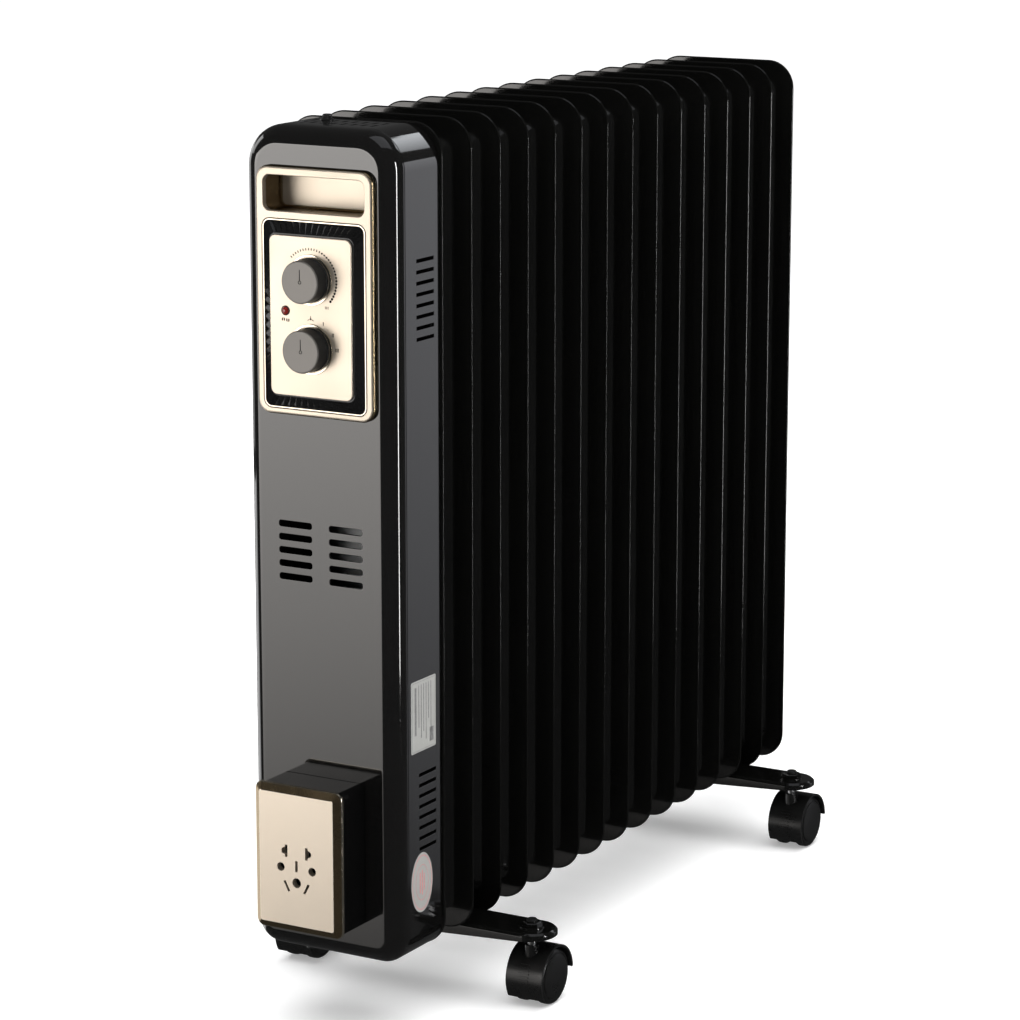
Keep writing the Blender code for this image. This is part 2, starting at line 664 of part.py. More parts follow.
def make_control(kind, height):
    """A switch behind the cover, and the shaft and knob that turn on its axis."""
    z = PLATE_MIDDLE + height
    axis = empty(f"{kind}_axis", (0, FRONT_Y, z))
    case_shape = bmesh.new()
    add_box(case_shape, SWITCH_SIZE, (0, SWITCH_FACE + SWITCH_SIZE[1] / 2, 0))
    case = place(to_mesh(case_shape, f"{kind}_switch", False), f"{kind}_switch", satin_black(), parent=axis)
    well = bmesh.new()
    well_end = SWITCH_FACE + SHAFT_IN_SWITCH + 2 * GAP
    add_rod(well, SHAFT_RADIUS + SHAFT_CLEARANCE, (0, SWITCH_FACE - CUT, 0), (0, well_end, 0), 12)
    cut(case, helper(well, f"{kind}_well", parent=axis))

    knob_back = -PLATE_PROUD - 2 * GAP
    knob_front = knob_back - KNOB_HEIGHT
    bore_end = knob_back - KNOB_BORE_DEPTH
    shaft_shape = bmesh.new()
    shaft_end = SWITCH_FACE + SHAFT_IN_SWITCH
    add_rod(shaft_shape, SHAFT_RADIUS, (0, bore_end + GAP, 0), (0, shaft_end, 0), 12)
    place(to_mesh(shaft_shape, f"{kind}_shaft"), f"{kind}_shaft", steel(), parent=axis)

    knob_shape = bmesh.new()
    add_rod(knob_shape, KNOB_RADIUS, (0, knob_back, 0), (0, knob_front, 0), 20)
    rim = [e for e in knob_shape.edges if all(v.co.y < knob_front + CUT for v in e.verts)]
    bmesh.ops.bevel(knob_shape, geom=rim, offset=0.0008, segments=1, affect="EDGES")
    knob = place(to_mesh(knob_shape, f"{kind}_knob"), f"{kind}_knob", satin_black(), parent=axis)
    bore = bmesh.new()
    add_rod(bore, SHAFT_RADIUS + GAP, (0, knob_back + CUT, 0), (0, bore_end, 0), 12)
    cut(knob, helper(bore, f"{kind}_knob_bore", parent=axis))


def make_indicator():
    x, up = LENS_PLACE
    z = PLATE_MIDDLE + up
    back = -PLATE_PROUD + PLATE_WALL + 2 * GAP
    shape = bmesh.new()
    add_rod(shape, LENS_RADIUS, (x, depth(back), z), (x, depth(-PLATE_PROUD), z), 12)
    dome = bmesh.new()
    tip = -PLATE_PROUD - LENS_PROUD
    add_rod(dome, LENS_RADIUS, (x, depth(back - GAP), z), (x, depth(tip), z), 12, LENS_RADIUS * 0.55)
    red = material("red_lens", (0.30, 0.02, 0.01), 0.15)
    lens = place(to_mesh(shape, "indicator_lens"), "indicator_lens", red)
    join(lens, helper(dome, "lens_dome"))
    lamp = bmesh.new()
    lamp_front = back + GAP
    add_rod(lamp, LAMP_RADIUS, (x, depth(lamp_front), z), (x, depth(lamp_front + LAMP_LENGTH), z), 10)
    place(to_mesh(lamp, "indicator_lamp"), "indicator_lamp", material("lamp_glass", (0.9, 0.5, 0.3), 0.1))


def make_rear_plate():
    """The steel plate inside the sleeve, in front of the first fin, and the two safety switches on it."""
    slack = SHELL_WALL + 2 * GAP
    shape = slab(housing_outline(slack, 3), REAR_PLATE_FACE, REAR_PLATE_FACE + REAR_PLATE_WALL)
    rear = at_housing(place(to_mesh(shape, "rear_plate"), "rear_plate", steel()))
    holes = bmesh.new()
    span = (depth(REAR_PLATE_FACE - CUT), depth(REAR_PLATE_FACE + REAR_PLATE_WALL + CUT))
    for z in (LOW_HEADER, HIGH_HEADER):
        add_rod(holes, HUB_RADIUS + CUT, (0, span[0], z), (0, span[1], z), 12)
    cut(rear, helper(holes, "hub_holes"))

    width, thick, _ = TIP_SWITCH_SIZE
    tip_switch = bmesh.new()
    x = HUB_RADIUS + width
    y = depth(REAR_PLATE_FACE - GAP - thick / 2)
    add_box(tip_switch, TIP_SWITCH_SIZE, (x, y, LOW_HEADER))
    place(to_mesh(tip_switch, "tip_over_switch", False), "tip_over_switch", satin_black())
    cutout = bmesh.new()
    z = LOW_HEADER + 3 * HUB_RADIUS
    front = depth(REAR_PLATE_FACE - GAP - CUTOUT_THICK)
    add_rod(cutout, CUTOUT_RADIUS, (0, front, z), (0, front + CUTOUT_THICK, z), 12)
    place(to_mesh(cutout, "thermal_cutout"), "thermal_cutout", steel())


# ---------------------------------------------------------------- socket box


def pin_holes(name, front, back, middle):
    """Cutters for one universal outlet: round, flat and slanted pins."""
    holes = bmesh.new()
    centre = (front + back) / 2
    deep = back - front

    def round_hole(x, z, radius, sides=12):
        add_rod(holes, radius, (x, front, z), (x, back, z), sides)

    for side in (-1, 1):
        round_hole(side * ROUND_PIN[0], ROUND_PIN[1], ROUND_PIN[2])
    round_hole(*EARTH_PIN)
    flats = bmesh.new()
    for side in (-1, 1):
        add_box(flats, (FLAT_SLOT[0], deep, FLAT_SLOT[1]), (side * FLAT_PIN[0], centre, FLAT_PIN[1]))
        turn = Matrix.Rotation(side * SLANT, 4, "Y")
        at = (side * SLANT_SLOT[0], centre, SLANT_SLOT[1])
        add_box(flats, (SLANT_SLOT[2], deep, SLANT_SLOT[3]), at, turn)
    add_box(flats, (EARTH_SLOT[2], deep, EARTH_SLOT[3]), (EARTH_SLOT[0], centre, EARTH_SLOT[1]))
    eyes = bmesh.new()
    for side in (-1, 1):
        x = side * (FLAT_PIN[0] + FLAT_PIN_EYE[0] / 2)
        ends = [(x, y, FLAT_PIN[1]) for y in (front - CUT / 2, back + CUT / 2)]
        add_rod(eyes, FLAT_PIN_EYE[1], *ends, 10)
    at = (0, FRONT_Y, middle)
    return (
        helper(holes, f"{name}_round", at=at),
        helper(flats, f"{name}_flat", at=at),
        helper(eyes, f"{name}_eye", at=at),
    )


def make_socket():
    """The outlet on the lower front: a box on the cover, a plate and the insert behind the plate."""
    rim = SOCKET_PROUD - SOCKET_PLATE
    edge = rounded(SOCKET_WIDTH, SOCKET_HEIGHT, SOCKET_CORNER, 3)
    face = rounded(SOCKET_WIDTH - 2 * SOCKET_BEVEL, SOCKET_HEIGHT - 2 * SOCKET_BEVEL, SOCKET_CORNER / 3, 3)
    plate_shape = loft((face, -SOCKET_PROUD), (edge, -rim - SOCKET_PLATE * 0.3), (edge, -rim))
    plate = place(
        to_mesh(plate_shape, "socket_plate"), "socket_plate", gold(), at=(0, FRONT_Y, SOCKET_MIDDLE)
    )
    cut(plate, *pin_holes("plate_pins", -SOCKET_PROUD - CUT, -rim + CUT, SOCKET_MIDDLE))

    width, height = SOCKET_WIDTH - 2 * SOCKET_INSET, SOCKET_HEIGHT - 2 * SOCKET_INSET
    corner = SOCKET_CORNER - SOCKET_INSET
    box_shape = slab(rounded(width, height, corner, 3), -rim + GAP, -GAP)
    box_mesh = to_mesh(box_shape, "socket_box")
    box = place(box_mesh, "socket_box", gloss_black(), at=(0, FRONT_Y, SOCKET_MIDDLE))
    wall = SOCKET_WALL
    inner = rounded(width - 2 * wall, height - 2 * wall, corner - wall, 3)
    hollow = slab(inner, -rim - CUT, -GAP - wall)
    cut(box, helper(hollow, "socket_hollow", at=(0, FRONT_Y, SOCKET_MIDDLE)))

    insert_shape = bmesh.new()
    front = -rim + GAP
    middle = (0, front + INSERT_SIZE[1] / 2, -INSERT_BELOW)
    add_box(insert_shape, INSERT_SIZE, middle)
    insert = place(
        to_mesh(insert_shape, "socket_insert", False), "socket_insert", satin_black(),
        at=(0, FRONT_Y, SOCKET_MIDDLE),
    )
    pins = pin_holes("insert_pins", front - CUT, front + INSERT_SIZE[1] + CUT, SOCKET_MIDDLE)
    cut(insert, *pins)


# ---------------------------------------------------------------- legs


def leg_depth(number):
    """Distance of leg 0, at the front, or 1, at the rear, behind the cover. Each is between two fins."""
    front = FIRST_FIN + (LEG_AFTER_FIN - 0.5) * FIN_PITCH
    return front if number == 0 else FIRST_FIN + LAST_FIN - front


def make_leg(name, number):
    """A pressed channel with round ends, between the rims of two fins, and its U-bolt and wing nuts."""
    at = (0, depth(leg_depth(number)), LEG_TOP)
    half = LEG_LENGTH / 2
    ends = rounded(LEG_LENGTH, 2 * LEG_HALF_WIDTH, LEG_HALF_WIDTH - GAP, 6)
    blank = slab(ends, 0.0, LEG_DEPTH)
    bmesh.ops.transform(blank, matrix=Matrix.Rotation(-math.pi / 2, 4, "X"), verts=blank.verts)
    leg = place(to_mesh(blank, name), name, black_enamel(), at=at)
    edge = leg.modifiers.new("fold", "BEVEL")
    edge.width = LEG_WALL / 2
    edge.segments = 1
    edge.limit_method = "ANGLE"
    edge.angle_limit = math.radians(60)

    inner_half = LEG_HALF_WIDTH - LEG_WALL
    inner = rounded(LEG_LENGTH - 2 * LEG_WALL, 2 * inner_half, inner_half - GAP, 6)
    hollow = slab(inner, LEG_WALL, LEG_DEPTH + CUT)
    bmesh.ops.transform(hollow, matrix=Matrix.Rotation(-math.pi / 2, 4, "X"), verts=hollow.verts)
    cut(leg, helper(hollow, f"{name}_hollow", at=at))

    taper = bmesh.new()
    start = half * 0.3
    run = half - start
    slope = math.atan2(LEG_DEPTH - LEG_END_DEPTH, run)
    for side in (-1, 1):
        turn = Matrix.Rotation(-side * slope, 4, "Y")
        middle = Vector((side * (start + run / 2), 0, -(LEG_DEPTH + LEG_END_DEPTH) / 2))
        below = turn @ Vector((0, 0, -LEG_DEPTH / 2))
        add_box(taper, (run * 1.2, 4 * LEG_HALF_WIDTH, LEG_DEPTH), middle + below, turn)
    cut(leg, helper(taper, f"{name}_taper", at=at))

    holes = bmesh.new()
    for side in (-1, 1):
        for x, radius in ((CASTER_OFFSET, THREAD_RADIUS + GAP), (BOLT_SPREAD, BOLT_RADIUS + GAP)):
            add_rod(holes, radius, (side * x, 0, -LEG_WALL - CUT), (side * x, 0, CUT), 12)
    cut(leg, helper(holes, f"{name}_holes", at=at))
    make_bolt(name, at)


def make_bolt(leg_name, at):
    side_name = leg_name.split("_")[0]
    rise = LOW_HEADER - LEG_TOP
    route = [(-BOLT_SPREAD, -BOLT_DROP)]
    route += [
        (-BOLT_SPREAD * math.cos(a), rise + BOLT_SPREAD * math.sin(a))
        for a in (math.pi * step / 8 for step in range(9))
    ]
    route.append((BOLT_SPREAD, -BOLT_DROP))
    wire(f"{side_name}_u_bolt", [(x, at[1], at[2] + z) for x, z in route], BOLT_RADIUS, steel())
    top = at[2] - LEG_WALL - GAP
    for side, label in ((-1, "left"), (1, "right")):
        x = side * BOLT_SPREAD
        shape = bmesh.new()
        add_rod(shape, NUT_RADIUS, (x, at[1], top - NUT_HEIGHT), (x, at[1], top), 12, NUT_RADIUS * 0.8)
        nut = place(to_mesh(shape, "nut"), f"{side_name}_wing_nut_{label}", steel())
        wings = bmesh.new()
        drop = NUT_HEIGHT * 0.35
        add_box(wings, (BOLT_RADIUS, WING_SPAN, NUT_HEIGHT * 1.1), (x, at[1], top - NUT_HEIGHT / 2 - drop))
        join(nut, helper(wings, f"{nut.name}_wings"))
        bore = bmesh.new()
        add_rod(bore, BOLT_RADIUS + GAP, (x, at[1], top - 3 * NUT_HEIGHT), (x, at[1], top + CUT), 12)
        cut(nut, helper(bore, f"{nut.name}_bore"))


# ---------------------------------------------------------------- casters


def hood_body(name, axle):
    """The hood over both wheels, in the axle's own axes: a fender, a web between the wheels and a boss."""
    inner = WHEEL_RADIUS / math.cos(math.pi / WHEEL_SIDES) + WHEEL_CLEARANCE
    outer = inner + HOOD_WALL
    half = (WHEEL_APART + WHEEL_WIDTH) / 2 + HOOD_OVERHANG
    shape = bmesh.new()
    add_rod(shape, outer, (-half, 0, 0), (half, 0, 0), 20)
    hood = place(to_mesh(shape, name), name, satin_black(), parent=axle)
    pockets = bmesh.new()
    for side in (-1, 1):
        add_rod(pockets, inner, (side * HOOD_WEB / 2, 0, 0), (side * (half + CUT), 0, 0), 20)
    below = bmesh.new()
    turn = Matrix.Rotation(HOOD_CUT, 4, "X")
    sunk = turn @ Vector((0, 0, -2 * outer))
    add_box(below, (4 * half, 6 * outer, 4 * outer), sunk + Vector((0, 0, -HOOD_CUT_DROP)), turn)
    cut(hood, helper(pockets, f"{name}_pockets", axle), helper(below, f"{name}_below", axle))
    boss = bmesh.new()
    add_rod(boss, BOSS_RADIUS, (0, -TRAIL, 0), (0, -TRAIL, BOSS_TOP), 12)
    join(hood, helper(boss, f"{name}_boss", axle))
    bores = bmesh.new()
    bore_end = BOSS_TOP - STEM_IN_HOOD - 2 * GAP
    add_rod(bores, STEM_RADIUS + SHAFT_CLEARANCE, (0, -TRAIL, bore_end), (0, -TRAIL, BOSS_TOP + CUT), 12)
    add_rod(bores, AXLE_RADIUS + SHAFT_CLEARANCE, (-half, 0, 0), (half, 0, 0), 12)
    cut(hood, helper(bores, f"{name}_bores", axle))
    return hood


def stem_profile():
    """(radius, height) from the stem's foot to the thread's end, heights from the leg's top."""
    under = -LEG_WALL - GAP
    foot = stem_foot()
    return [
        (0, foot),
        (STEM_RADIUS, foot),
        (STEM_RADIUS, under - COLLAR_HEIGHT),
        (COLLAR_RADIUS, under - COLLAR_HEIGHT),
        (COLLAR_RADIUS, under),
        (THREAD_RADIUS, under),
        (THREAD_RADIUS, LOCK_NUT_HEIGHT + GAP + THREAD_OVER_NUT),
        (0, LOCK_NUT_HEIGHT + GAP + THREAD_OVER_NUT),
    ]


def stem_foot():
    """The stem's foot, from the leg's top."""
    return WHEEL_RADIUS + BOSS_TOP - STEM_IN_HOOD - LEG_TOP


def wheel_profile():
    """(radius, place along the axle) of two wheels on one axle."""
    radius = WHEEL_RADIUS / math.cos(math.pi / WHEEL_SIDES)
    near = (WHEEL_APART - WHEEL_WIDTH) / 2
    far = (WHEEL_APART + WHEEL_WIDTH) / 2
    side = [
        (AXLE_RADIUS, near),
        (radius - 0.0015, near),
        (radius, near + 0.001),
        (radius, far - 0.0025),
        (radius - 0.0035, far),
        (0, far),
    ]
    return [(r, -x) for r, x in reversed(side)] + side


def make_caster(name, side, leg_number, meshes):
    """One caster: a stem locked in the leg, a hood that swivels on it and twin wheels on one axle."""
    y = depth(leg_depth(leg_number))
    x = side * CASTER_OFFSET
    swivel = empty(f"{name}_swivel", (x, y, LEG_TOP))
    axle = empty(f"{name}_axle", (0, TRAIL, WHEEL_RADIUS - LEG_TOP), swivel)
    if meshes:
        place(meshes["stem"], f"{name}_stem", None, parent=swivel)
        place(meshes["hood"], f"{name}_hood", None, parent=axle)
        wheels = place(meshes["wheels"], f"{name}_wheels", None, parent=axle)
        wheels.rotation_euler = ALONG_X
        return meshes
    stem = turned(f"{name}_stem", stem_profile(), 12, steel(), swivel)
    nut = bmesh.new()
    add_rod(nut, LOCK_NUT_RADIUS, (0, 0, GAP), (0, 0, GAP + LOCK_NUT_HEIGHT), 6)
    join(stem, helper(nut, "lock_nut", swivel))
    hood = hood_body(f"{name}_hood", axle)
    flat_down = math.pi / WHEEL_SIDES
    wheels = turned(f"{name}_wheels", wheel_profile(), WHEEL_SIDES, satin_black(), axle, flat_down)
    wheels.rotation_euler = ALONG_X
    made = {"stem": settled(stem), "hood": settled(hood), "wheels": settled(wheels)}
    for piece, key in ((stem, "stem"), (hood, "hood"), (wheels, "wheels")):
        piece.modifiers.clear()
        piece.data = made[key]
    return made


def make_casters():
    meshes = None
    for leg_number, end in enumerate(("front", "rear")):
        for side, label in ((-1, "left"), (1, "right")):
            meshes = make_caster(f"{end}_{label}_caster", side, leg_number, meshes)


def main():
    start_scene()
    make_fins()
    make_element()
    make_oil_plug()
    make_shell()
    make_gland()
    make_cover()
    make_rear_plate()
    make_panel()
    make_control("thermostat", THERMOSTAT_UP)
    make_control("selector", -SELECTOR_DOWN)
    make_indicator()
    make_socket()
    make_leg("front_leg", 0)
    make_leg("rear_leg", 1)
    make_casters()


main()
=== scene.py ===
"""Looks of the oil filled radiator heater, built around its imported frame.

Metres, +Z up, -Y is the front. A size times MM is in millimetres.
"""

import math

import bmesh
import bpy
from mathutils import Matrix, Vector


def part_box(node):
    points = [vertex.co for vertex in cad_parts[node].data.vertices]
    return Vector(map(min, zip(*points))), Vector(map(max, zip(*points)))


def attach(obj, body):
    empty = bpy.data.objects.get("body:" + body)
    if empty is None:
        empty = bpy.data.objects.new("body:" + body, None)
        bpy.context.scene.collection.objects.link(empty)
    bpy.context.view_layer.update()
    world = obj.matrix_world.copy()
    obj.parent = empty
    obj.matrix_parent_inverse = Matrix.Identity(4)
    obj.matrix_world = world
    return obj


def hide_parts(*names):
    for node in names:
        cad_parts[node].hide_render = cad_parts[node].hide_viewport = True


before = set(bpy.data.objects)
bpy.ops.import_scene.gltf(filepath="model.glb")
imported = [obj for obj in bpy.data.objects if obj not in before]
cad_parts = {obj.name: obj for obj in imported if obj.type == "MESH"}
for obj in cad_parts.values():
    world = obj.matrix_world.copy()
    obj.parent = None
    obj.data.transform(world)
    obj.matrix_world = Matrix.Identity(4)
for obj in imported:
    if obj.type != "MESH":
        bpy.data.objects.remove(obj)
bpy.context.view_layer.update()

MM = 0.001
ROOT = "radiator"
GAP = 0.0003
FINE = 12  # steps around the quarter of a visible corner


# -------- materials

GRAIN_SHARE = 0.5  # of the grain in what varies the roughness
WEAR_RANGE = (0.45, 1.05)


def link(tree, start, end):
    tree.links.new(start, end)


def noise(tree, coords, scale, detail, stretch=None):
    """A noise texture in object space. stretch squeezes it along an axis, for brushed metal."""
    if stretch:
        mapping = tree.nodes.new("ShaderNodeMapping")
        mapping.inputs["Scale"].default_value = stretch
        link(tree, coords, mapping.inputs["Vector"])
        coords = mapping.outputs["Vector"]
    made = tree.nodes.new("ShaderNodeTexNoise")
    made.inputs["Scale"].default_value = scale
    made.inputs["Detail"].default_value = detail
    link(tree, coords, made.inputs["Vector"])
    return made.outputs["Fac"]


def spread(tree, value, low, high, start=0.3, end=0.7):
    """Maps a value between start and end to one between low and high."""
    made = tree.nodes.new("ShaderNodeMapRange")
    made.inputs["From Min"].default_value = start
    made.inputs["From Max"].default_value = end
    made.inputs["To Min"].default_value = low
    made.inputs["To Max"].default_value = high
    link(tree, value, made.inputs["Value"])
    return made.outputs["Result"]


def bump(tree, height, depth, under=None):
    """A bump this many mm deep, on top of another one's normals."""
    made = tree.nodes.new("ShaderNodeBump")
    made.inputs["Strength"].default_value = 1.0
    made.inputs["Distance"].default_value = depth * MM
    link(tree, height, made.inputs["Height"])
    if under is not None:
        link(tree, under, made.inputs["Normal"])
    return made.outputs["Normal"]


def finish(
    name, colour, rough, metallic=0.0, coat=0.0, mottle=0.08, grain=(900, 0.02), cloud=18,
    peel=None, stretch=None, ior=1.5, coat_rough=0.04,
):
    """A painted, moulded or metal surface. rough is its lowest and highest roughness, mottle how
    far its colour varies, and cloud the scale of the slow changes. grain is (scale, height in mm)
    of its bump, which stretch squeezes, and peel the same of a second, wavy bump."""
    made = bpy.data.materials.new(name)
    made.use_nodes = True
    tree = made.node_tree
    shader = tree.nodes["Principled BSDF"]
    coords = tree.nodes.new("ShaderNodeTexCoord").outputs["Object"]
    slow = noise(tree, coords, cloud, 4.0)
    mix = tree.nodes.new("ShaderNodeMix")
    mix.data_type = "RGBA"
    mix.inputs["A"].default_value = (*[c * (1 - mottle) for c in colour], 1)
    mix.inputs["B"].default_value = (*[min(1, c * (1 + mottle)) for c in colour], 1)
    link(tree, spread(tree, slow, 0, 1), mix.inputs["Factor"])
    link(tree, mix.outputs["Result"], shader.inputs["Base Color"])
    fine = noise(tree, coords, grain[0], 2.0, stretch)
    wear = tree.nodes.new("ShaderNodeMath")
    wear.operation = "MULTIPLY_ADD"
    link(tree, fine, wear.inputs[0])
    wear.inputs[1].default_value = GRAIN_SHARE
    link(tree, slow, wear.inputs[2])
    worn = spread(tree, wear.outputs["Value"], *rough, *WEAR_RANGE)
    link(tree, worn, shader.inputs["Roughness"])
    normal = bump(tree, fine, grain[1])
    if peel:
        normal = bump(tree, noise(tree, coords, peel[0], 1.0), peel[1], normal)
    link(tree, normal, shader.inputs["Normal"])
    shader.inputs["Metallic"].default_value = metallic
    shader.inputs["Coat Weight"].default_value = coat
    shader.inputs["Coat Roughness"].default_value = coat_rough
    shader.inputs["IOR"].default_value = ior
    return made


ENAMEL = finish(
    "fin_enamel", (0.0026, 0.0026, 0.0024), (0.10, 0.18), coat=0.4, grain=(700, 0.004),
    peel=(160, 0.02),
)
LACQUER = finish(
    "cover_lacquer", (0.0030, 0.0029, 0.0028), (0.05, 0.11), coat=1.0, grain=(1100, 0.001),
    peel=(120, 0.006),
)
GOLD = finish(
    "champagne_satin", (0.70, 0.615, 0.505), (0.36, 0.46), 0.9, mottle=0.03, grain=(5200, 0.005),
    cloud=26,
)
PALE_GOLD = finish(
    "pale_satin", (0.84, 0.74, 0.615), (0.34, 0.44), 0.9, mottle=0.03, grain=(5200, 0.005),
    cloud=26,
)
# The gold finish made darker as painted shade, for bevels that turn away from the light and for the
# finger recess's walls.
SHADED_GOLD = finish(
    "shaded_gold", (0.42, 0.32, 0.19), (0.20, 0.34), 1.0, mottle=0.10, grain=(4200, 0.004),
    cloud=30,
)
BRIGHT_RIM = finish(
    "bright_rim", (0.86, 0.78, 0.64), (0.12, 0.22), 1.0, mottle=0.04, grain=(3000, 0.002)
)
SATIN = finish(
    "satin_moulding", (0.0065, 0.0065, 0.0065), (0.30, 0.44), grain=(2600, 0.010), mottle=0.12
)
GLOSS_PLASTIC = finish(
    "gloss_moulding", (0.005, 0.005, 0.005), (0.12, 0.20), grain=(1800, 0.003), mottle=0.1
)
KNOB_FACE = finish(
    "knob_face", (0.095, 0.088, 0.080), (0.28, 0.36), 0.55, coat=0.3, grain=(3000, 0.002),
    ior=1.7, coat_rough=0.2,
)
NYLON = finish(
    "caster_nylon", (0.0055, 0.0055, 0.0054), (0.24, 0.38), grain=(1500, 0.012), mottle=0.15,
    cloud=60,
)
TREAD = finish(
    "caster_tread", (0.0080, 0.0080, 0.0082), (0.45, 0.62), grain=(1700, 0.03), mottle=0.2,
    cloud=70,
)
ZINC = finish(
    "zinc_plate", (0.60, 0.60, 0.61), (0.22, 0.42), 1.0, mottle=0.12, grain=(1900, 0.01),
    cloud=120, stretch=(1, 1, 0.2),
)
SHEET = finish(
    "galvanised_sheet", (0.42, 0.43, 0.44), (0.30, 0.52), 1.0, mottle=0.22, grain=(800, 0.02),
    cloud=90,
)
RED = finish(
    "lamp_red", (0.17, 0.012, 0.008), (0.06, 0.12), coat=1.0, grain=(600, 0.01), mottle=0.2,
    cloud=400,
)
GLASS = finish(
    "lamp_glass", (0.75, 0.45, 0.30), (0.05, 0.10), coat=0.5, mottle=0.1, grain=(900, 0.004)
)
INK = finish(
    "print_ink", (0.004, 0.004, 0.004), (0.55, 0.70), ior=1.12, mottle=0.25, grain=(4000, 0.004),
    cloud=500,
)
PAPER = finish(
    "label_paper", (0.34, 0.34, 0.325), (0.30, 0.42), coat=0.25, mottle=0.04,
    grain=(2500, 0.006), cloud=80,
)
LABEL_GREY = finish(
    "label_grey", (0.16, 0.16, 0.16), (0.35, 0.5), mottle=0.3, grain=(2500, 0.004), cloud=700
)
LABEL_PINK = finish(
    "label_pink", (0.55, 0.20, 0.20), (0.35, 0.5), mottle=0.2, grain=(2500, 0.004), cloud=500
)
BOX_BLACK = finish(
    "box_black", (0.0022, 0.0022, 0.0022), (0.16, 0.26), grain=(1500, 0.004), mottle=0.1, ior=1.28
)
DARK = finish("inner_dark", (0.006, 0.006, 0.006), (0.5, 0.7), grain=(1200, 0.02), mottle=0.2)
PHENOLIC = finish(
    "switch_case", (0.05, 0.047, 0.043), (0.4, 0.6), grain=(1400, 0.03), mottle=0.2
)


# -------- shapes


def middle(node):
    low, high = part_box(node)
    return (low + high) / 2


def spans(node):
    """The node's box: its low corner, its high corner, its middle, and its length on each axis."""
    low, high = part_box(node)
    return low, high, (low + high) / 2, (high.x - low.x, high.y - low.y, high.z - low.z)


def placed(name, data):
    made = bpy.data.objects.new(name, data)
    bpy.context.scene.collection.objects.link(made)
    return made


def mesh_of(name, shape, at=(0, 0, 0)):
    mesh = bpy.data.meshes.new(name)
    shape.to_mesh(mesh)
    shape.free()
    mesh.transform(Matrix.Translation(Vector(at)))
    return mesh


def outline(width, height, corners, steps=FINE, sides=(1, 1)):
    """Corner points of a rounded rectangle in X and Z. corners is one radius, or the upper and
    the lower one. sides is how many parts the horizontal and the upright sides have."""
    upper, lower = corners if isinstance(corners, tuple) else (corners, corners)
    points = []
    for sign_x, sign_z, turn in ((1, 1, 0), (-1, 1, 1), (-1, -1, 2), (1, -1, 3)):
        radius = upper if sign_z > 0 else lower
        x, z = sign_x * (width / 2 - radius), sign_z * (height / 2 - radius)
        for step in range(steps + 1):
            angle = math.pi / 2 * (turn + step / steps)
            points.append((x + radius * math.cos(angle), z + radius * math.sin(angle)))
    if sides == (1, 1):
        return points
    dense = []
    for corner in range(4):
        own = points[corner * (steps + 1) : (corner + 1) * (steps + 1)]
        following = points[((corner + 1) * (steps + 1)) % len(points)]
        parts = sides[corner % 2]
        dense += own
        for step in range(1, parts):
            dense.append(tuple(a + (b - a) * step / parts for a, b in zip(own[-1], following)))
    return dense


def arc(radius, steps, start=0.0, end=90.0):
    """(across, along) points of an arc about the origin, for a fillet."""
    angles = [math.radians(start + (end - start) * s / steps) for s in range(steps + 1)]
    return [(radius * math.cos(a), radius * math.sin(a)) for a in angles]


def skin(shape, rings, closed=False):
    """Joins each ring of points to the next, and the last to the first where closed. It gives
    each band's faces."""
    bands = []
    for ring, following in zip(rings, rings[1:] + (rings[:1] if closed else [])):
        band = []
        for step in range(len(ring)):
            after = (step + 1) % len(ring)
            corners = (ring[step], ring[after], following[after], following[step])
            band.append(shape.faces.new(corners))
        bands.append(band)
    return bands


def tube(rings_at):
    """A ring-shaped body through rings of points, the last joined to the first."""
    shape = bmesh.new()
    skin(shape, [[shape.verts.new(at) for at in ring] for ring in rings_at], closed=True)
    bmesh.ops.recalc_face_normals(shape, faces=shape.faces)
    return shape


def loft(sections, paints=None):
    """A closed body through sections of (outline, y). paints gives a band's number its material,
    and the two ends the first one."""
    shape = bmesh.new()
    rings = [[shape.verts.new((x, y, z)) for x, z in points] for points, y in sections]
    for number, band in enumerate(skin(shape, rings)):
        for face in band:
            face.material_index = (paints or {}).get(number, 0)
    shape.faces.new(rings[0])
    shape.faces.new(list(reversed(rings[-1])))
    bmesh.ops.recalc_face_normals(shape, faces=shape.faces)
    return shape


def add_loft(shape, points, at, front, back):
    """Adds an extruded outline at a place, from front to back along Y."""
    rings = [
        [shape.verts.new((at[0] + x, at[1] + y, at[2] + z)) for x, z in points]
        for y in (front, back)
    ]
    skin(shape, rings)
    shape.faces.new(rings[0])
    shape.faces.new(list(reversed(rings[1])))


def lathe(profile, sides, axis="Y", ribs=None):
    """A body turned from (radius, place along the axis), first and last on the axis. ribs is
    (first, last, depth): between those points every second column is cut back, for a knurl."""
    shape = bmesh.new()
    rings = []
    for number, (radius, along) in enumerate(profile):
        if radius <= 0:
            rings.append([shape.verts.new((0, along, 0))])
            continue
        ring = []
        for side in range(sides):
            sunk = ribs and ribs[0] <= number <= ribs[1] and side % 2
            own = radius - (ribs[2] if sunk else 0)
            angle = 2 * math.pi * side / sides
            ring.append(shape.verts.new((own * math.cos(angle), along, own * math.sin(angle))))
        rings.append(ring)
    for ring, following in zip(rings, rings[1:]):
        for side in range(sides):
            after = (side + 1) % sides
            corners = [ring[side % len(ring)], ring[after % len(ring)]]
            corners += [following[after % len(following)], following[side % len(following)]]
            shape.faces.new([c for i, c in enumerate(corners) if c not in corners[:i]])
    if axis != "Y":
        turn = {"X": (-math.pi / 2, 4, "Z"), "Z": (math.pi / 2, 4, "X")}[axis]
        bmesh.ops.transform(shape, matrix=Matrix.Rotation(*turn), verts=shape.verts)
    bmesh.ops.recalc_face_normals(shape, faces=shape.faces)
    return shape


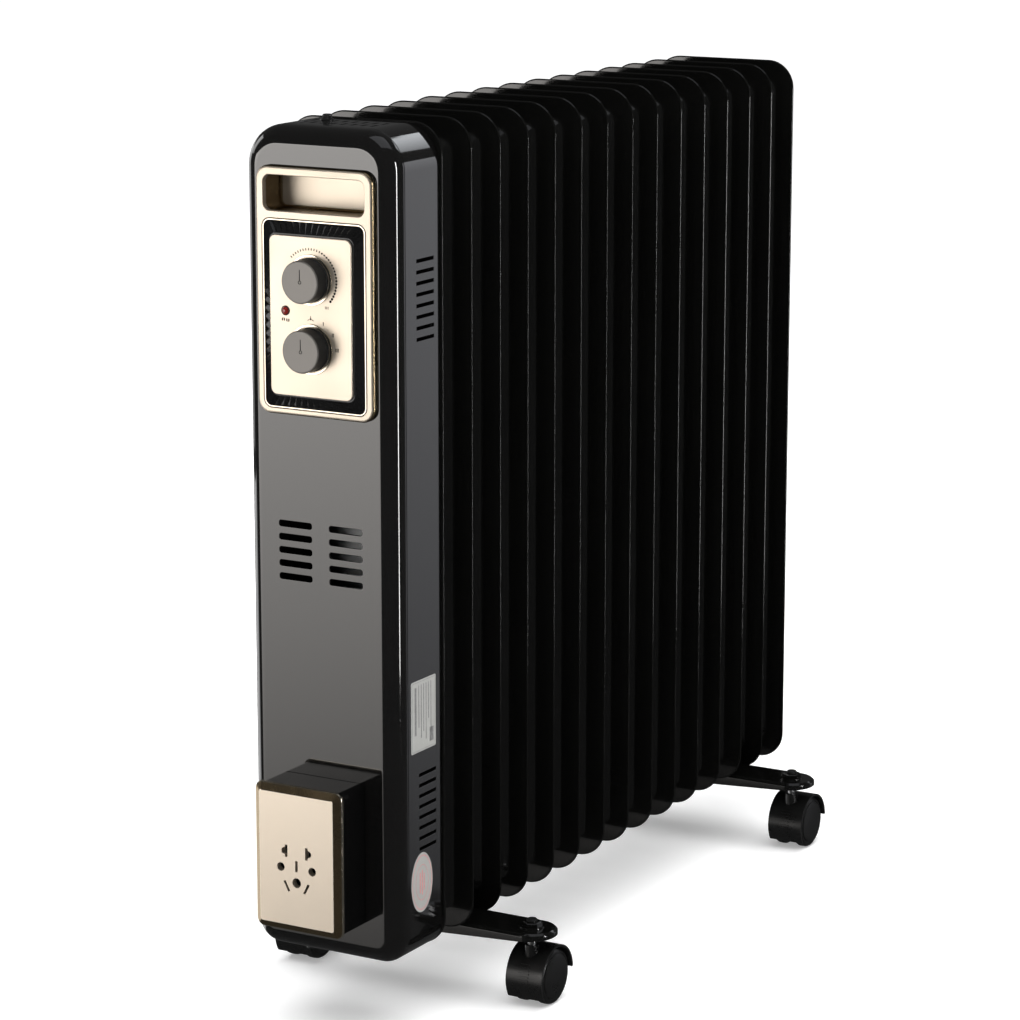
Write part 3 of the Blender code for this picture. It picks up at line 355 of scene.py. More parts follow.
def hoop(profile, sides):
    """A ring about the Y axis, from (radius, place along -Y) in mm."""
    angles = [math.tau * side / sides for side in range(sides)]
    return tube([
        [(radius * MM * math.cos(a), -along * MM, radius * MM * math.sin(a)) for a in angles]
        for radius, along in profile
    ])


def add_box(shape, size, at, turn=None):
    place = Matrix.Translation(Vector(at)) @ (turn or Matrix())
    bmesh.ops.create_cube(shape, size=1.0, matrix=place @ Matrix.Diagonal((*size, 1.0)))


def add_rod(shape, radius, start, end, sides=32):
    start, end = Vector(start), Vector(end)
    along = end - start
    turn = along.to_track_quat("Z", "Y").to_matrix().to_4x4()
    bmesh.ops.create_cone(
        shape, cap_ends=True, segments=sides, radius1=radius, radius2=radius, depth=along.length,
        matrix=Matrix.Translation((start + end) / 2) @ turn,
    )


def shade(made, smooth):
    """Smooth shading up to this many degrees, with flats kept flat however edges are rounded."""
    made.data.shade_smooth()
    made.data.set_sharp_from_angle(angle=math.radians(smooth))
    even = made.modifiers.new("even", "WEIGHTED_NORMAL")
    even.keep_sharp = True
    even.weight = 100


def piece(name, shape, paints, body=ROOT, at=(0, 0, 0), replaces=None, smooth=35):
    """A shown piece of this shape, riding on a body."""
    made = placed(name, mesh_of(name, shape, at))
    for paint in paints if isinstance(paints, list) else [paints]:
        made.data.materials.append(paint)
    shade(made, smooth)
    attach(made, body)
    if replaces:
        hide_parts(replaces)
    return made


def helper(shape, at=(0, 0, 0)):
    bmesh.ops.recalc_face_normals(shape, faces=shape.faces)
    return placed("helper", mesh_of("helper", shape, at))


def cut(shape, at=(0, 0, 0)):
    return ("DIFFERENCE", helper(shape, at))


def join(shape, at=(0, 0, 0)):
    return ("UNION", helper(shape, at))


def carve(target, steps, bevel=0.0, segments=2, smooth=35):
    """Applies Booleans in turn, then rounds the sharp edges, and drops the helpers."""
    target.modifiers.clear()
    for operation, other in steps:
        change = target.modifiers.new("carve", "BOOLEAN")
        change.operation = operation
        change.object = other
        change.solver = "EXACT"
    if bevel:
        edge = target.modifiers.new("edge", "BEVEL")
        edge.width = bevel
        edge.segments = segments
        edge.limit_method = "ANGLE"
        edge.angle_limit = math.radians(40)
        edge.use_clamp_overlap = True
    bpy.context.view_layer.update()
    graph = bpy.context.evaluated_depsgraph_get()
    mesh = bpy.data.meshes.new_from_object(target.evaluated_get(graph))
    target.modifiers.clear()
    target.data = mesh
    shade(target, smooth)
    for _, other in steps:
        bpy.data.objects.remove(other, do_unlink=True)


# -------- fins

FIN_COUNT = 15
FIN_PROFILE = (  # mm of inset from the outline and height from the middle, over half the thickness
    (23.0, 7.0), (21.6, 6.95), (20.7, 6.55), (16.2, 2.0), (15.2, 1.25), (13.8, 1.0),
    (1.3, 1.0), (0.45, 0.86), (0.08, 0.5), (0.0, 0.22), (0.22, 0.0),
)
FIN_CORNERS = ((0, 22), (1.3, 21), (14, 10.5), (21, 5), (23, 4))  # mm of inset, corner radius
HUB_FROM_END = 45 * MM  # from the fin's end to the hub's middle
FREE_HUB = 11.5 * MM  # reach of a hub that meets no other fin
HUB_ROOT = ((0, 6.6), (21.5, 6.6), (20.4, 7.1), (18.9, 7.9), (18.1, 9.2), (18.0, 10.5))
HUB_END = ((18.0, -0.9), (17.6, -0.2), (17.2, 0), (0, 0))  # mm of radius, place from its end


def fin_corner(inset):
    for (start, first), (end, last) in zip(FIN_CORNERS, FIN_CORNERS[1:]):
        if inset <= end:
            return first + (last - first) * (inset - start) / (end - start)
    return FIN_CORNERS[-1][1]


def add_hub(shape, side, reach, up):
    """Adds a header hub on one side of a fin, at this height from its middle."""
    profile = [*HUB_ROOT] + [(r, reach / MM + a) for r, a in HUB_END]
    hub = mesh_of("hub", lathe([(r * MM, side * a * MM) for r, a in profile], 40), (0, 0, up))
    shape.from_mesh(hub)
    bpy.data.meshes.remove(hub)


def make_fins():
    _, _, _, (width, thick, height) = spans("fin_02")
    hub_reach = thick / 2
    sections = []
    for inset, rise in FIN_PROFILE:
        size = (width - 2 * inset * MM, height - 2 * inset * MM)
        sections.append((outline(*size, fin_corner(inset) * MM), -rise * MM))
    sections += [(points, -y) for points, y in reversed(sections[:-1])]
    hub_place = height / 2 - HUB_FROM_END
    for number in range(1, FIN_COUNT + 1):
        name = f"fin_{number:02d}"
        low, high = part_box(name)
        first, last = number == 1, number == FIN_COUNT
        centre_y = high.y - hub_reach if first else low.y + hub_reach
        shape = loft(sections)
        for sign in (-1, 1):
            add_hub(shape, -1, FREE_HUB if first else hub_reach, sign * hub_place)
            add_hub(shape, 1, FREE_HUB if last else hub_reach, sign * hub_place)
        piece(f"{name}_enamelled", shape, ENAMEL, at=(0, centre_y, (low.z + high.z) / 2),
              replaces=name, smooth=30)


# -------- housing

CORNERS = (28 * MM, 18 * MM)  # of the housing's outline, upper and lower
COVER_EDGE, COVER_WALL = 13 * MM, 2.5 * MM
VENT, VENT_CORNER = (26.5 * MM, 4.4 * MM), 1.6 * MM
VENT_ROWS, VENT_PITCH, VENT_SIDE = 5, 9.25, 20.3 * MM
VENT_DROP = 76.7 * MM  # from the panel's lower edge to the first row
GRIP_CORNER = 6.9 * MM
CONTROL_HOLES = (("thermostat_shaft", 3.4), ("selector_shaft", 3.4), ("indicator_lens", 2.9))
SHELL_WALL = 1.5 * MM
SLOT_ROWS, SLOT_PITCH = 8, 7.6
SLOTS_FROM_TOP, SLOTS_FROM_FOOT, SLOTS_FROM_BACK = 116 * MM, 105 * MM, 18.7 * MM
LOUVRE_TILT = math.radians(28)
TOP_COLUMNS, TOP_PITCH, TOP_ROWS = 8, 8, (28, 42)
GLAND_HOLE = 4.3 * MM
SCREW = (  # mm of radius and height of the screw on the housing's top
    (0, 4.2), (2.4, 4.2), (3.1, 3.8), (3.4, 3.0), (3.4, 1.2), (4.6, 1.0), (4.8, 0.6), (4.8, 0.05),
    (0, 0.05),
)


def housing_sizes():
    low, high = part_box("side_shell")
    return (high.x - low.x, high.z - low.z, (low.z + high.z) / 2)


def shrunk(width, height, inset):
    """The housing's outline, taken in by an inset."""
    radii = tuple(max(corner - inset, 0.4 * MM) for corner in CORNERS)
    return outline(width - 2 * inset, height - 2 * inset, radii)


def control_holes(front, back):
    """Cuts the holes of the two shafts and of the lens."""
    holes = bmesh.new()
    for node, radius in CONTROL_HOLES:
        at = middle(node)
        add_rod(holes, radius * MM, (at.x, front, at.z), (at.x, back, at.z))
    return cut(holes)


def make_cover():
    """The front cover: a shallow tray with a rounded front edge."""
    width, height, up = housing_sizes()
    low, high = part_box("front_cover")
    front, deep = low.y, high.y - low.y
    outer, inner = (
        [(COVER_EDGE - across, COVER_EDGE - along) for across, along in arc(radius, steps)]
        for radius, steps in ((COVER_EDGE, 10), (COVER_EDGE - COVER_WALL, 8))
    )
    rim = [(COVER_WALL, deep), (0.25 * MM, deep), (0, deep - 0.3 * MM)]
    sections = [(shrunk(width, height, inset), y) for inset, y in inner[::-1] + rim + outer]
    cover = piece("front_cover_lacquered", loft(sections), LACQUER, at=(0, front, up),
                  replaces="front_cover")
    vents = bmesh.new()
    panel_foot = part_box("panel_frame")[0].z
    for row in range(VENT_ROWS):
        z = panel_foot - VENT_DROP - row * VENT_PITCH * MM
        for side in (-1, 1):
            points = outline(*VENT, VENT_CORNER, 4)
            add_loft(vents, points, (side * VENT_SIDE, front, z), -2 * MM, 5 * MM)
    steps = [cut(vents)]
    low, high, _, (cup_width, _, cup_height) = spans("handle_cup")
    grip = bmesh.new()
    points = outline(cup_width + GAP, cup_height + GAP, GRIP_CORNER)
    add_loft(grip, points, ((low.x + high.x) / 2, front, (low.z + high.z) / 2), -2 * MM, 6 * MM)
    steps += [cut(grip), control_holes(front - 2 * MM, front + 5 * MM)]
    carve(cover, steps, 0.45 * MM, smooth=30)


def make_shell():
    """The sleeve behind the cover, with slots in its sides and its top, and a top screw."""
    width, height, up = housing_sizes()
    low, high, _, (_, deep, _) = spans("side_shell")
    lip, ease, sunk = 0.35 * MM, 0.08 * MM, 0.12 * MM
    bands = [(SHELL_WALL, 0.0), (lip, 0.0), (ease, sunk), (0.0, lip)]
    bands += [(0.0, deep - lip), (ease, deep - sunk), (lip, deep), (SHELL_WALL, deep)]
    shape = tube([[(x, y, z) for x, z in shrunk(width, height, inset)] for inset, y in bands])
    shell = piece("side_shell_lacquered", shape, LACQUER, at=(0, low.y, up),
                  replaces="side_shell")
    slots, lips = bmesh.new(), bmesh.new()
    y = high.y - SLOTS_FROM_BACK
    for centre in (high.z - SLOTS_FROM_TOP, low.z + SLOTS_FROM_FOOT):
        for row in range(SLOT_ROWS):
            z = centre + (row - (SLOT_ROWS - 1) / 2) * SLOT_PITCH * MM
            for side in (-1, 1):
                size = (4 * MM, 22.4 * MM, 2.4 * MM)
                add_box(slots, size, (side * width / 2, y, z + 0.5 * MM))
                at = (side * (width / 2 - 2.6 * MM), y, z - 0.7 * MM)
                turn = Matrix.Rotation(side * LOUVRE_TILT, 4, "Y")
                add_box(lips, (3.2 * MM, 22 * MM, 0.7 * MM), at, turn)
    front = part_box("front_cover")[0].y
    for column in range(TOP_COLUMNS):
        x = (column - (TOP_COLUMNS - 1) / 2) * TOP_PITCH * MM
        for row in TOP_ROWS:
            add_box(slots, (2.8 * MM, 9 * MM, 4 * MM), (x, front + row * MM, high.z))
    hole = bmesh.new()
    gland = middle("cord_gland")
    ends = [(gland.x, gland.y, low.z + z * MM) for z in (-4, 4)]
    add_rod(hole, GLAND_HOLE, *ends)
    carve(shell, [cut(slots), cut(hole)], 0.35 * MM, smooth=30)
    louvres = piece("side_louvres", lips, LACQUER)
    carve(louvres, [], 0.15 * MM, 1)
    screw = lathe([(r * MM, a * MM) for r, a in SCREW], 40, "Z", (3, 4, 0.25 * MM))
    piece("housing_top_screw", screw, SATIN, at=(-20 * MM, front + 45 * MM, high.z))


def label_bars(name, paint, bars, at):
    """Thin printed bars on the shell's right side. Each bar is (y, z, width, height) from the
    label's middle, mm."""
    shape = bmesh.new()
    for y, z, width, height in bars:
        add_box(shape, (0.06 * MM, width * MM, height * MM), (0, y * MM, z * MM))
    piece(name, shape, paint, at=at, smooth=20)


def label_plate(name, points, inner, at):
    """A label 0.12 mm thick that faces +X, from its outline and the one of its face."""
    plate = loft([(points, 0), (inner, -0.12 * MM)])
    quarter = Matrix.Rotation(math.pi / 2, 4, "Z")
    bmesh.ops.transform(plate, matrix=quarter, verts=plate.verts)
    piece(name, plate, PAPER, at=at, smooth=20)


def make_labels():
    """Two blank labels: a pale rectangle with grey rows, and a pale oval with pink rings."""
    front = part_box("front_cover")[0].y
    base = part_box("fin_02")[0].z
    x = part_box("side_shell")[1].x
    y, z = front + 34.8 * MM, base + 175.5 * MM
    points = outline(32.4 * MM, 51 * MM, 1.2 * MM, 4)
    face = outline(32.2 * MM, 50.8 * MM, 1.2 * MM, 4)
    label_plate("rating_label", points, face, (x + 0.02 * MM, y, z))
    bars = [(-10.5, 4, 2.2, 34)]
    for column, length in enumerate((30, 38, 34, 40, 26, 36)):
        bars.append((-6.2 + column * 3.2, 22 - length / 2, 0.8, length))
    bars += [(0, 24.3, 30, 0.25), (0, -24.3, 30, 0.25), (-15, 0, 0.25, 48.6), (15, 0, 0.25, 48.6)]
    bars.append((10.5, -16, 5, 10))
    label_bars("rating_label_rows", LABEL_GREY, bars, (x + 0.17 * MM, y, z))

    y, z = front + 31.75 * MM, base + 55.5 * MM
    angles = [math.tau * s / 64 for s in range(64)]
    oval = [(14 * MM * math.cos(a), 21.5 * MM * math.sin(a)) for a in angles]
    face = [(0.995 * a, 0.995 * b) for a, b in oval]
    label_plate("seal_label", oval, face, (x + 0.02 * MM, y, z))
    rings = (("seal_label_ring", 0.92, 0.03), ("seal_label_inner_ring", 0.60, 0.02))
    for name, scale, thick in rings:
        ring = tube([
            [(deep * MM, a * s, b * s) for a, b in oval]
            for s, deep in ((scale, 0.0), (scale, 0.06), (scale - thick, 0.06), (scale - thick, 0))
        ])
        piece(name, ring, LABEL_PINK, at=(x + 0.14 * MM, y, z))
    bars = [(-2.6, 0, 1.1, 15), (0.2, 0, 1.1, 18), (2.8, 0, 0.8, 12)]
    label_bars("seal_label_rows", LABEL_PINK, bars, (x + 0.17 * MM, y, z))


# -------- gold panel

PANEL_CORNER, PANEL_ROUND, PANEL_TAPER = 10 * MM, 2.3 * MM, 2.1 * MM
GRIP_WINDOW, GRIP_WINDOW_CORNER = (80 * MM, 24 * MM), 5 * MM
CUP_WALL, CUP_FILLET = 1.6 * MM, 1.6 * MM
FLUTES = (26, 40)  # parts of the bezel's horizontal and upright sides
RIM_LIFT = 3.6 * MM  # the bezel's outer rim, above the cover
PLATE_CORNER, PLATE_EDGE = 5 * MM, 0.5 * MM
PRINT_LIFT = 0.01 * MM
DIAL_SWEEP = (-45, 175)  # degrees: where the thermostat's scale starts, and how far it goes
DIAL_MARKS, DIAL_BARS, DIAL_RADIUS = 30, 12, 20.8
SELECTOR_PLACES = ((1, 29), (2, 58), (3, 87))  # strokes and degrees
LENS_RADIUS, LENS_DOME = 2.6, 1.5


def make_panel():
    """The gold frame around the finger recess and the dials, and the recess's cup."""
    low, high, centre, (width, proud, height) = spans("panel_frame")
    points = outline(width, height, PANEL_CORNER)
    sections = [(points, 0), (points, PANEL_ROUND - proud)]
    for across, along in arc(1, 5):
        inset = PANEL_TAPER * (1 - across)
        points = outline(width - 2 * inset, height - 2 * inset, PANEL_CORNER - inset)
        sections.append((points, PANEL_ROUND * (1 - along) - proud))
    # The side and the outer part of the rounded edge take the darker gold: painted shade where the
    # edge turns away from the light.
    shape = loft(sections, {band: 1 for band in range(5)})
    made = piece("panel_frame_gilt", shape, [GOLD, SHADED_GOLD], at=(0, high.y, centre.z),
                 replaces="panel_frame")
    cup_low, cup_high, cup, (cup_width, depth, cup_height) = spans("handle_cup")
    _, _, bezel, (bezel_width, _, bezel_height) = spans("fluted_bezel")
    bezel_window = (bezel_width + 2 * GAP, bezel_height + 2 * GAP)
    steps = []
    for place, size, corner in (
        (cup, GRIP_WINDOW, GRIP_WINDOW_CORNER),
        (bezel, bezel_window, 6 * MM),
    ):
        window = bmesh.new()
        add_loft(window, outline(*size, corner), (0, low.y, place.z), -3 * MM, 9 * MM)
        steps.append(cut(window))
    carve(made, steps, 0.7 * MM, 3, 30)

    inner = (cup_width - 2 * CUP_WALL, cup_height - 2 * CUP_WALL)
    corner = GRIP_CORNER - CUP_WALL
    points = outline(cup_width, cup_height, GRIP_CORNER)
    sections = [(points, y) for y in (depth, 0.2 * MM, 0.0)]
    sections += [(outline(*inner, corner), y) for y in (0.0, 0.4 * MM)]
    for across, along in arc(1, 4):
        inset = CUP_FILLET * (1 - across)
        points = outline(inner[0] - 2 * inset, inner[1] - 2 * inset, corner - inset)
        sections.append((points, depth - CUP_WALL - CUP_FILLET + CUP_FILLET * along))
    # The cup's walls take the darker gold: painted shade inside the finger recess.
    piece("handle_cup_shaded", loft(sections), SHADED_GOLD, at=(0, cup_low.y, cup.z),
          replaces="handle_cup")
    size = [side - 3 * MM for side in inner]
    points, face = outline(*size, 3.6 * MM), outline(*[s - 0.8 * MM for s in size], 3.2 * MM)
    plate = loft([(points, 0.0), (points, -0.5 * MM), (face, -0.8 * MM)])
    at = (0, cup_high.y - CUP_WALL - 0.05 * MM, cup.z)
    piece("handle_cup_plate", plate, GOLD, at=at)


def make_bezel():
    """Black bezel whose sloped band is pressed into flutes that run outwards from the plate."""
    _, high, centre, (width, proud, height) = spans("fluted_bezel")
    _, _, _, (plate_width, _, plate_height) = spans("control_plate")
    inner_size = (plate_width + 1 * MM, plate_height + 1 * MM)
    slope = proud - 3.8 * MM
    shape = bmesh.new()
    loops = []
    for share, lift, tooth in (  # share of the way from the outer to the inner outline
        (0, 0, 0), (0, -RIM_LIFT, 0), (0.02, -3.8 * MM, 0), (0.07, -3.85 * MM, 0),
        (0.10, -3.5 * MM, 0), (0.17, -RIM_LIFT, 1.0), (0.5, -RIM_LIFT - slope * 0.42, 1.5),
        (0.88, -RIM_LIFT - slope * 0.86, 1.1), (0.95, -proud, 0), (1.0, -proud, 0),
        (1.04, -proud, 0),
    ):
        size = [(1 - share) * a + share * b for a, b in zip((width, height), inner_size)]
        corner = (1 - share) * 5.7 * MM + share * PLATE_CORNER
        loops.append([
            shape.verts.new((x, lift + (0.5 - step % 2) * tooth * MM, z))
            for step, (x, z) in enumerate(outline(*size, corner, 6, FLUTES))
        ])
    skin(shape, loops)
    shape.faces.new(loops[0])
    shape.faces.new(list(reversed(loops[-1])))
    bmesh.ops.recalc_face_normals(shape, faces=shape.faces)
    piece("fluted_bezel_ribbed", shape, GLOSS_PLASTIC, at=(0, high.y, centre.z),
          replaces="fluted_bezel", smooth=18)
    outer, inner = (
        outline(width - 2 * i * MM, height - 2 * i * MM, (5.7 - i) * MM) for i in (0.1, 0.75)
    )
    line = tube([
        [(x, lift * MM, z) for x, z in points]
        for points, lift in ((outer, -3.75), (outer, -4.25), (inner, -4.25), (inner, -3.75))
    ])
    piece("bezel_bright_line", line, BRIGHT_RIM, at=(0, high.y, centre.z))


def make_plate():
    low, high, centre, (width, thick, height) = spans("control_plate")
    side = PLATE_EDGE - thick
    sections = [(outline(width, height, PLATE_CORNER), y) for y in (0, side)]
    for across, along in arc(PLATE_EDGE, 4):
        inset = PLATE_EDGE - across
        points = outline(width - 2 * inset, height - 2 * inset, PLATE_CORNER - inset)
        sections.append((points, side - along))
    made = piece("control_plate_gilt", loft(sections), GOLD, at=(0, high.y, centre.z),
                 replaces="control_plate")
    carve(made, [control_holes(low.y - 2 * MM, high.y + 2 * MM)], 0.12 * MM, 1, 30)


def printed(name, marks, at):
    """Flat printed marks on the plate, in mm: (x, z, radius) or (x, z, width, height, turn)."""
    shape = bmesh.new()
    for x, z, *size in marks:
        if len(size) == 1:
            ends = (x * MM, 0, z * MM), (x * MM, -0.08 * MM, z * MM)
            add_rod(shape, size[0] * MM, *ends, 14)
        else:
            width, height, degrees = size
            turn = Matrix.Rotation(math.radians(degrees), 4, "Y")
            add_box(shape, (width * MM, 0.08 * MM, height * MM), (x * MM, -0.04 * MM, z * MM), turn)
    piece(name, shape, INK, at=(at.x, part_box("control_plate")[0].y - PRINT_LIFT, at.z), smooth=20)


def collar(name, inner, outer, height, at, paint):
    """A low ring on the plate, sizes in mm."""
    profile = [(inner, 0), (outer, 0), (outer, height * 0.6), (outer - 0.25, height)]
    profile += [(inner + 0.2, height), (inner, height * 0.8)]
    at = (at.x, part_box("control_plate")[0].y, at.z)
    piece(name, hoop(profile, 72), paint, at=at)


def make_knob(kind):
    """A knurled knob with a satin face, its printed pointer, and the collar around it."""
    low, high, centre, (wide, deep, _) = spans(f"{kind}_knob")
    body = f"{kind}_dial"
    radius, tall = wide / 2 / MM, deep / MM
    profile = [
        (0, 0), (radius - 0.9, 0.0), (radius - 0.1, 0.25), (radius, 0.7), (radius, 1.9),
        (radius - 0.35, 2.3), (radius - 0.4, tall - 1.1), (radius - 0.5, tall - 0.6),
        (radius - 0.9, tall - 0.15), (radius - 1.4, tall), (radius - 1.9, tall - 0.02),
        (0, tall - 0.25),
    ]
    shape = lathe([(r * MM, -a * MM) for r, a in profile], 96, ribs=(5, 6, 0.18 * MM))
    for face in shape.faces:
        if face.calc_center_median().y < -(tall - 0.5) * MM:
            face.material_index = 1
    made = piece(f"{kind}_knob_turned", shape, [SATIN, KNOB_FACE], body,
                 (centre.x, high.y, centre.z), f"{kind}_knob", 28)
    bore = bmesh.new()
    add_rod(bore, 3.3 * MM, *[(centre.x, high.y + y * MM, centre.z) for y in (2, -9)])
    carve(made, [cut(bore)], smooth=28)
    at = (centre.x, low.y + 0.20 * MM, centre.z)
    line = bmesh.new()
    add_box(line, (0.60 * MM, 0.20 * MM, 12.2 * MM), (0, 0, 7.4 * MM))
    piece(f"{kind}_pointer", line, INK, body, at, smooth=20)
    eye = hoop([(0.85, -0.08), (1.25, -0.08), (1.25, 0.08), (0.85, 0.08)], 32)
    piece(f"{kind}_pointer_eye", eye, INK, body, at)
    collar(f"{kind}_collar", 15.6, 17.3, 0.9, centre, BRIGHT_RIM)


def around(radius, degrees):
    """Where this lies around a dial, clockwise from its top."""
    return radius * math.sin(math.radians(degrees)), radius * math.cos(math.radians(degrees))


def make_controls():
    for kind in ("thermostat", "selector"):
        make_knob(kind)

    marks = []
    for number in range(DIAL_MARKS):
        share = number / (DIAL_MARKS - 1)
        turn = DIAL_SWEEP[0] + DIAL_SWEEP[1] * share
        size = (0.66, 1.6, turn) if number < DIAL_BARS else (0.50 + 0.42 * share,)
        marks.append((*around(DIAL_RADIUS, turn), *size))
    x, z = around(22, 144)
    marks += [(x + offset, z, 0.45, 1.9, 0) for offset in (-1.1, 0, 1.1)]
    printed("thermostat_scale", marks, middle("thermostat_knob"))

    marks = [(0, 20.6, 0.7)]
    for turn in (0, 120, 240):
        marks.append((around(2.0, turn)[0], 20.6 + around(1.3, turn)[1], 0.4, 1.5, turn))
    for count, turn in SELECTOR_PLACES:
        x, z = around(DIAL_RADIUS, turn)
        marks += [(x + stroke - (count - 1) / 2, z, 0.55, 2.5, 0) for stroke in range(count)]
    printed("selector_scale", marks, middle("selector_knob"))

    _, high, lens, (_, deep, _) = spans("indicator_lens")
    marks = [(x, -6.2, 0.9, 1.6, 0) for x in (-2.6, -1.0, 1.0, 2.6)]
    marks += [(-1.8, -5.2, 2.4, 0.3, 0), (1.8, -7.2, 2.4, 0.3, 0)]
    printed("lamp_mark", marks, lens)
    tall = deep / MM
    dome = tall - LENS_DOME
    profile = [(0, 0.0), (LENS_RADIUS - 0.1, 0.0), (LENS_RADIUS, 0.2), (LENS_RADIUS, dome)]
    for angle in (math.radians(a) for a in (20, 40, 60, 75)):
        profile.append((LENS_RADIUS * math.cos(angle), dome + LENS_DOME * math.sin(angle)))
    shape = lathe([(r * MM, -a * MM) for r, a in [*profile, (0, tall)]], 40)
    piece("indicator_lens_dome", shape, RED, at=(lens.x, high.y, lens.z),
          replaces="indicator_lens")
    collar("indicator_collar", 2.75, 3.35, 0.5, lens, SATIN)


# -------- outlet

SOCKET_CORNER, SOCKET_EDGE, SOCKET_BEVEL = 6 * MM, 1.5 * MM, 5.5 * MM
BOX_WALL, BOX_CORNER = 2 * MM, 4.6 * MM
ROUND_PINS = ((-12.8, -5.8, 3.1), (12.8, -5.8, 3.1), (0, -15.8, 3.5))  # mm: x, z, radius
FLAT_EYE = (9.7, 6.2, 2.5)  # mm: x, z, radius of the round part of a flat pin's hole
FLAT_PINS = (  # mm and degrees: x, z, width, height, turn
    (-8.3, 6.2, 2.2, 8.8, 0), (-8, -19, 1.8, 8, -28), (8.3, 6.2, 2.2, 8.8, 0),
    (8, -19, 1.8, 8, 28), (0, -4, 2, 7.8, 0),
)


def make_outlet():
    low, high, centre, (width, thick, height) = spans("socket_plate")
    edge = SOCKET_EDGE
    sections = [
        (outline(width - 2 * i, height - 2 * i, corner), y)
        for i, corner, y in (
            (0, SOCKET_CORNER, 0),
            (0, SOCKET_CORNER, 0.5 * MM - edge),
            (0.25 * MM, 5.8 * MM, -edge),
            (0.7 * MM, SOCKET_CORNER - 0.7 * MM, -edge - 0.25 * MM),
            (SOCKET_BEVEL - 0.35 * MM, 1.6 * MM, 0.25 * MM - thick),
            (SOCKET_BEVEL, 1.6 * MM, -thick),
        )
    ]
    # Band 3, the wide bevel, takes the darker gold: painted shade on the slope.
    shape = loft(sections, {0: 2, 1: 2, 2: 2, 3: 1, 4: 2})
    made = piece("socket_plate_gilt", shape, [PALE_GOLD, SHADED_GOLD, BRIGHT_RIM],
                 at=(0, high.y, centre.z), replaces="socket_plate")
    front, back = low.y - 2 * MM, high.y + 2 * MM
    rounds = bmesh.new()
    for x, z, radius in ROUND_PINS:
        ends = [(x * MM, y, centre.z + z * MM) for y in (front, back)]
        add_rod(rounds, radius * MM, *ends, 40)
    flats = bmesh.new()
    for x, z, wide, tall, degrees in FLAT_PINS:
        turn = Matrix.Rotation(math.radians(degrees), 4, "Y")
        at = (x * MM, (front + back) / 2, centre.z + z * MM)
        add_box(flats, (wide * MM, back - front, tall * MM), at, turn)
    eyes = bmesh.new()
    for side in (-1, 1):
        x, z = side * FLAT_EYE[0] * MM, centre.z + FLAT_EYE[1] * MM
        add_rod(eyes, FLAT_EYE[2] * MM, (x, front - MM, z), (x, back + MM, z), 40)
    carve(made, [cut(rounds), cut(flats), cut(eyes)], smooth=30)

    low, _, centre, (width, deep, height) = spans("socket_box")
    inner = outline(width - 2 * BOX_WALL, height - 2 * BOX_WALL, BOX_CORNER - BOX_WALL)
    outer = outline(width, height, BOX_CORNER)
    sunk = outline(width - 0.6 * MM, height - 0.6 * MM, BOX_CORNER - 0.3 * MM)
    sections = [(sunk, deep), (outer, deep - 0.3 * MM), (outer, 0.0), (inner, 0.0)]
    sections.append((inner, deep - BOX_WALL))
    piece("socket_box_black", loft(sections), BOX_BLACK, at=(0, low.y, centre.z),
          replaces="socket_box")


# -------- legs and casters

LEG_WALL = 2 * MM
LEG_EDGE = ((2.4, 0.0), (1.9, 0.08), (0.5, 1.3), (0.1, 1.8), (0.0, 2.6))  # mm of inset, depth
LEG_FLAT_SHARE, LEG_RISE = 0.3, 5 * MM  # where its underside starts to rise, and how far
LEG_HOLES = ((98.6, 4.3), (21.6, 3.3))  # mm: place from the middle and radius
WASHER = ((0, 0.9), (8.2, 0.9), (8.8, 0.7), (9.0, 0.35), (9.0, 0.02), (0, 0.02))
WHEEL_THICK = 9  # mm
HOOD_WALL, HOOD_CLEARANCE, HOOD_SIDES = 1.5, 1.0, 16
HOOD_CUT, HOOD_DROP = math.radians(19), 6.4 * MM  # the plane that opens it below
RIB_COUNT, RIB_FIRST, RIB_STEP = 7, 146, 6


def make_leg(name):
    _, _, centre, (length, width, deep) = spans(name)
    at = (0, centre.y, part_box(name)[1].z)
    flat = Matrix.Rotation(-math.pi / 2, 4, "X")
    radius = width / 2 - GAP
    sections = []
    for inset, along in (*LEG_EDGE, (0.0, deep / MM)):
        size = (length - 2 * inset * MM, width - 2 * inset * MM)
        sections.append((outline(*size, radius - inset * MM, 16), along * MM))
    shape = loft(sections)
    bmesh.ops.transform(shape, matrix=flat, verts=shape.verts)
    leg = piece(f"{name}_pressed", shape, ENAMEL, at=at, replaces=name)
    inner = outline(length - 2 * LEG_WALL, width - 2 * LEG_WALL, radius - LEG_WALL, 16)
    hollow = loft([(inner, LEG_WALL), (inner, deep + 2 * MM)])
    bmesh.ops.transform(hollow, matrix=flat, verts=hollow.verts)
    taper = bmesh.new()
    start = length / 2 * LEG_FLAT_SHARE
    run = length / 2 - start
    for side in (-1, 1):
        turn = Matrix.Rotation(-side * math.atan2(LEG_RISE, run), 4, "Y")
        place = Vector((side * (start + run / 2), 0, -(deep + LEG_RISE) / 2))
        place += turn @ Vector((0, 0, -deep / 2))
        add_box(taper, (run * 1.2, 2 * width, deep), place, turn)
    holes = bmesh.new()
    for side in (-1, 1):
        for x, hole in LEG_HOLES:
            ends = [(side * x * MM, 0, z * MM) for z in (-6, 3)]
            add_rod(holes, hole * MM, *ends)
    carve(leg, [cut(hollow, at), cut(taper, at), cut(holes, at)], 0.2 * MM, 1, 32)


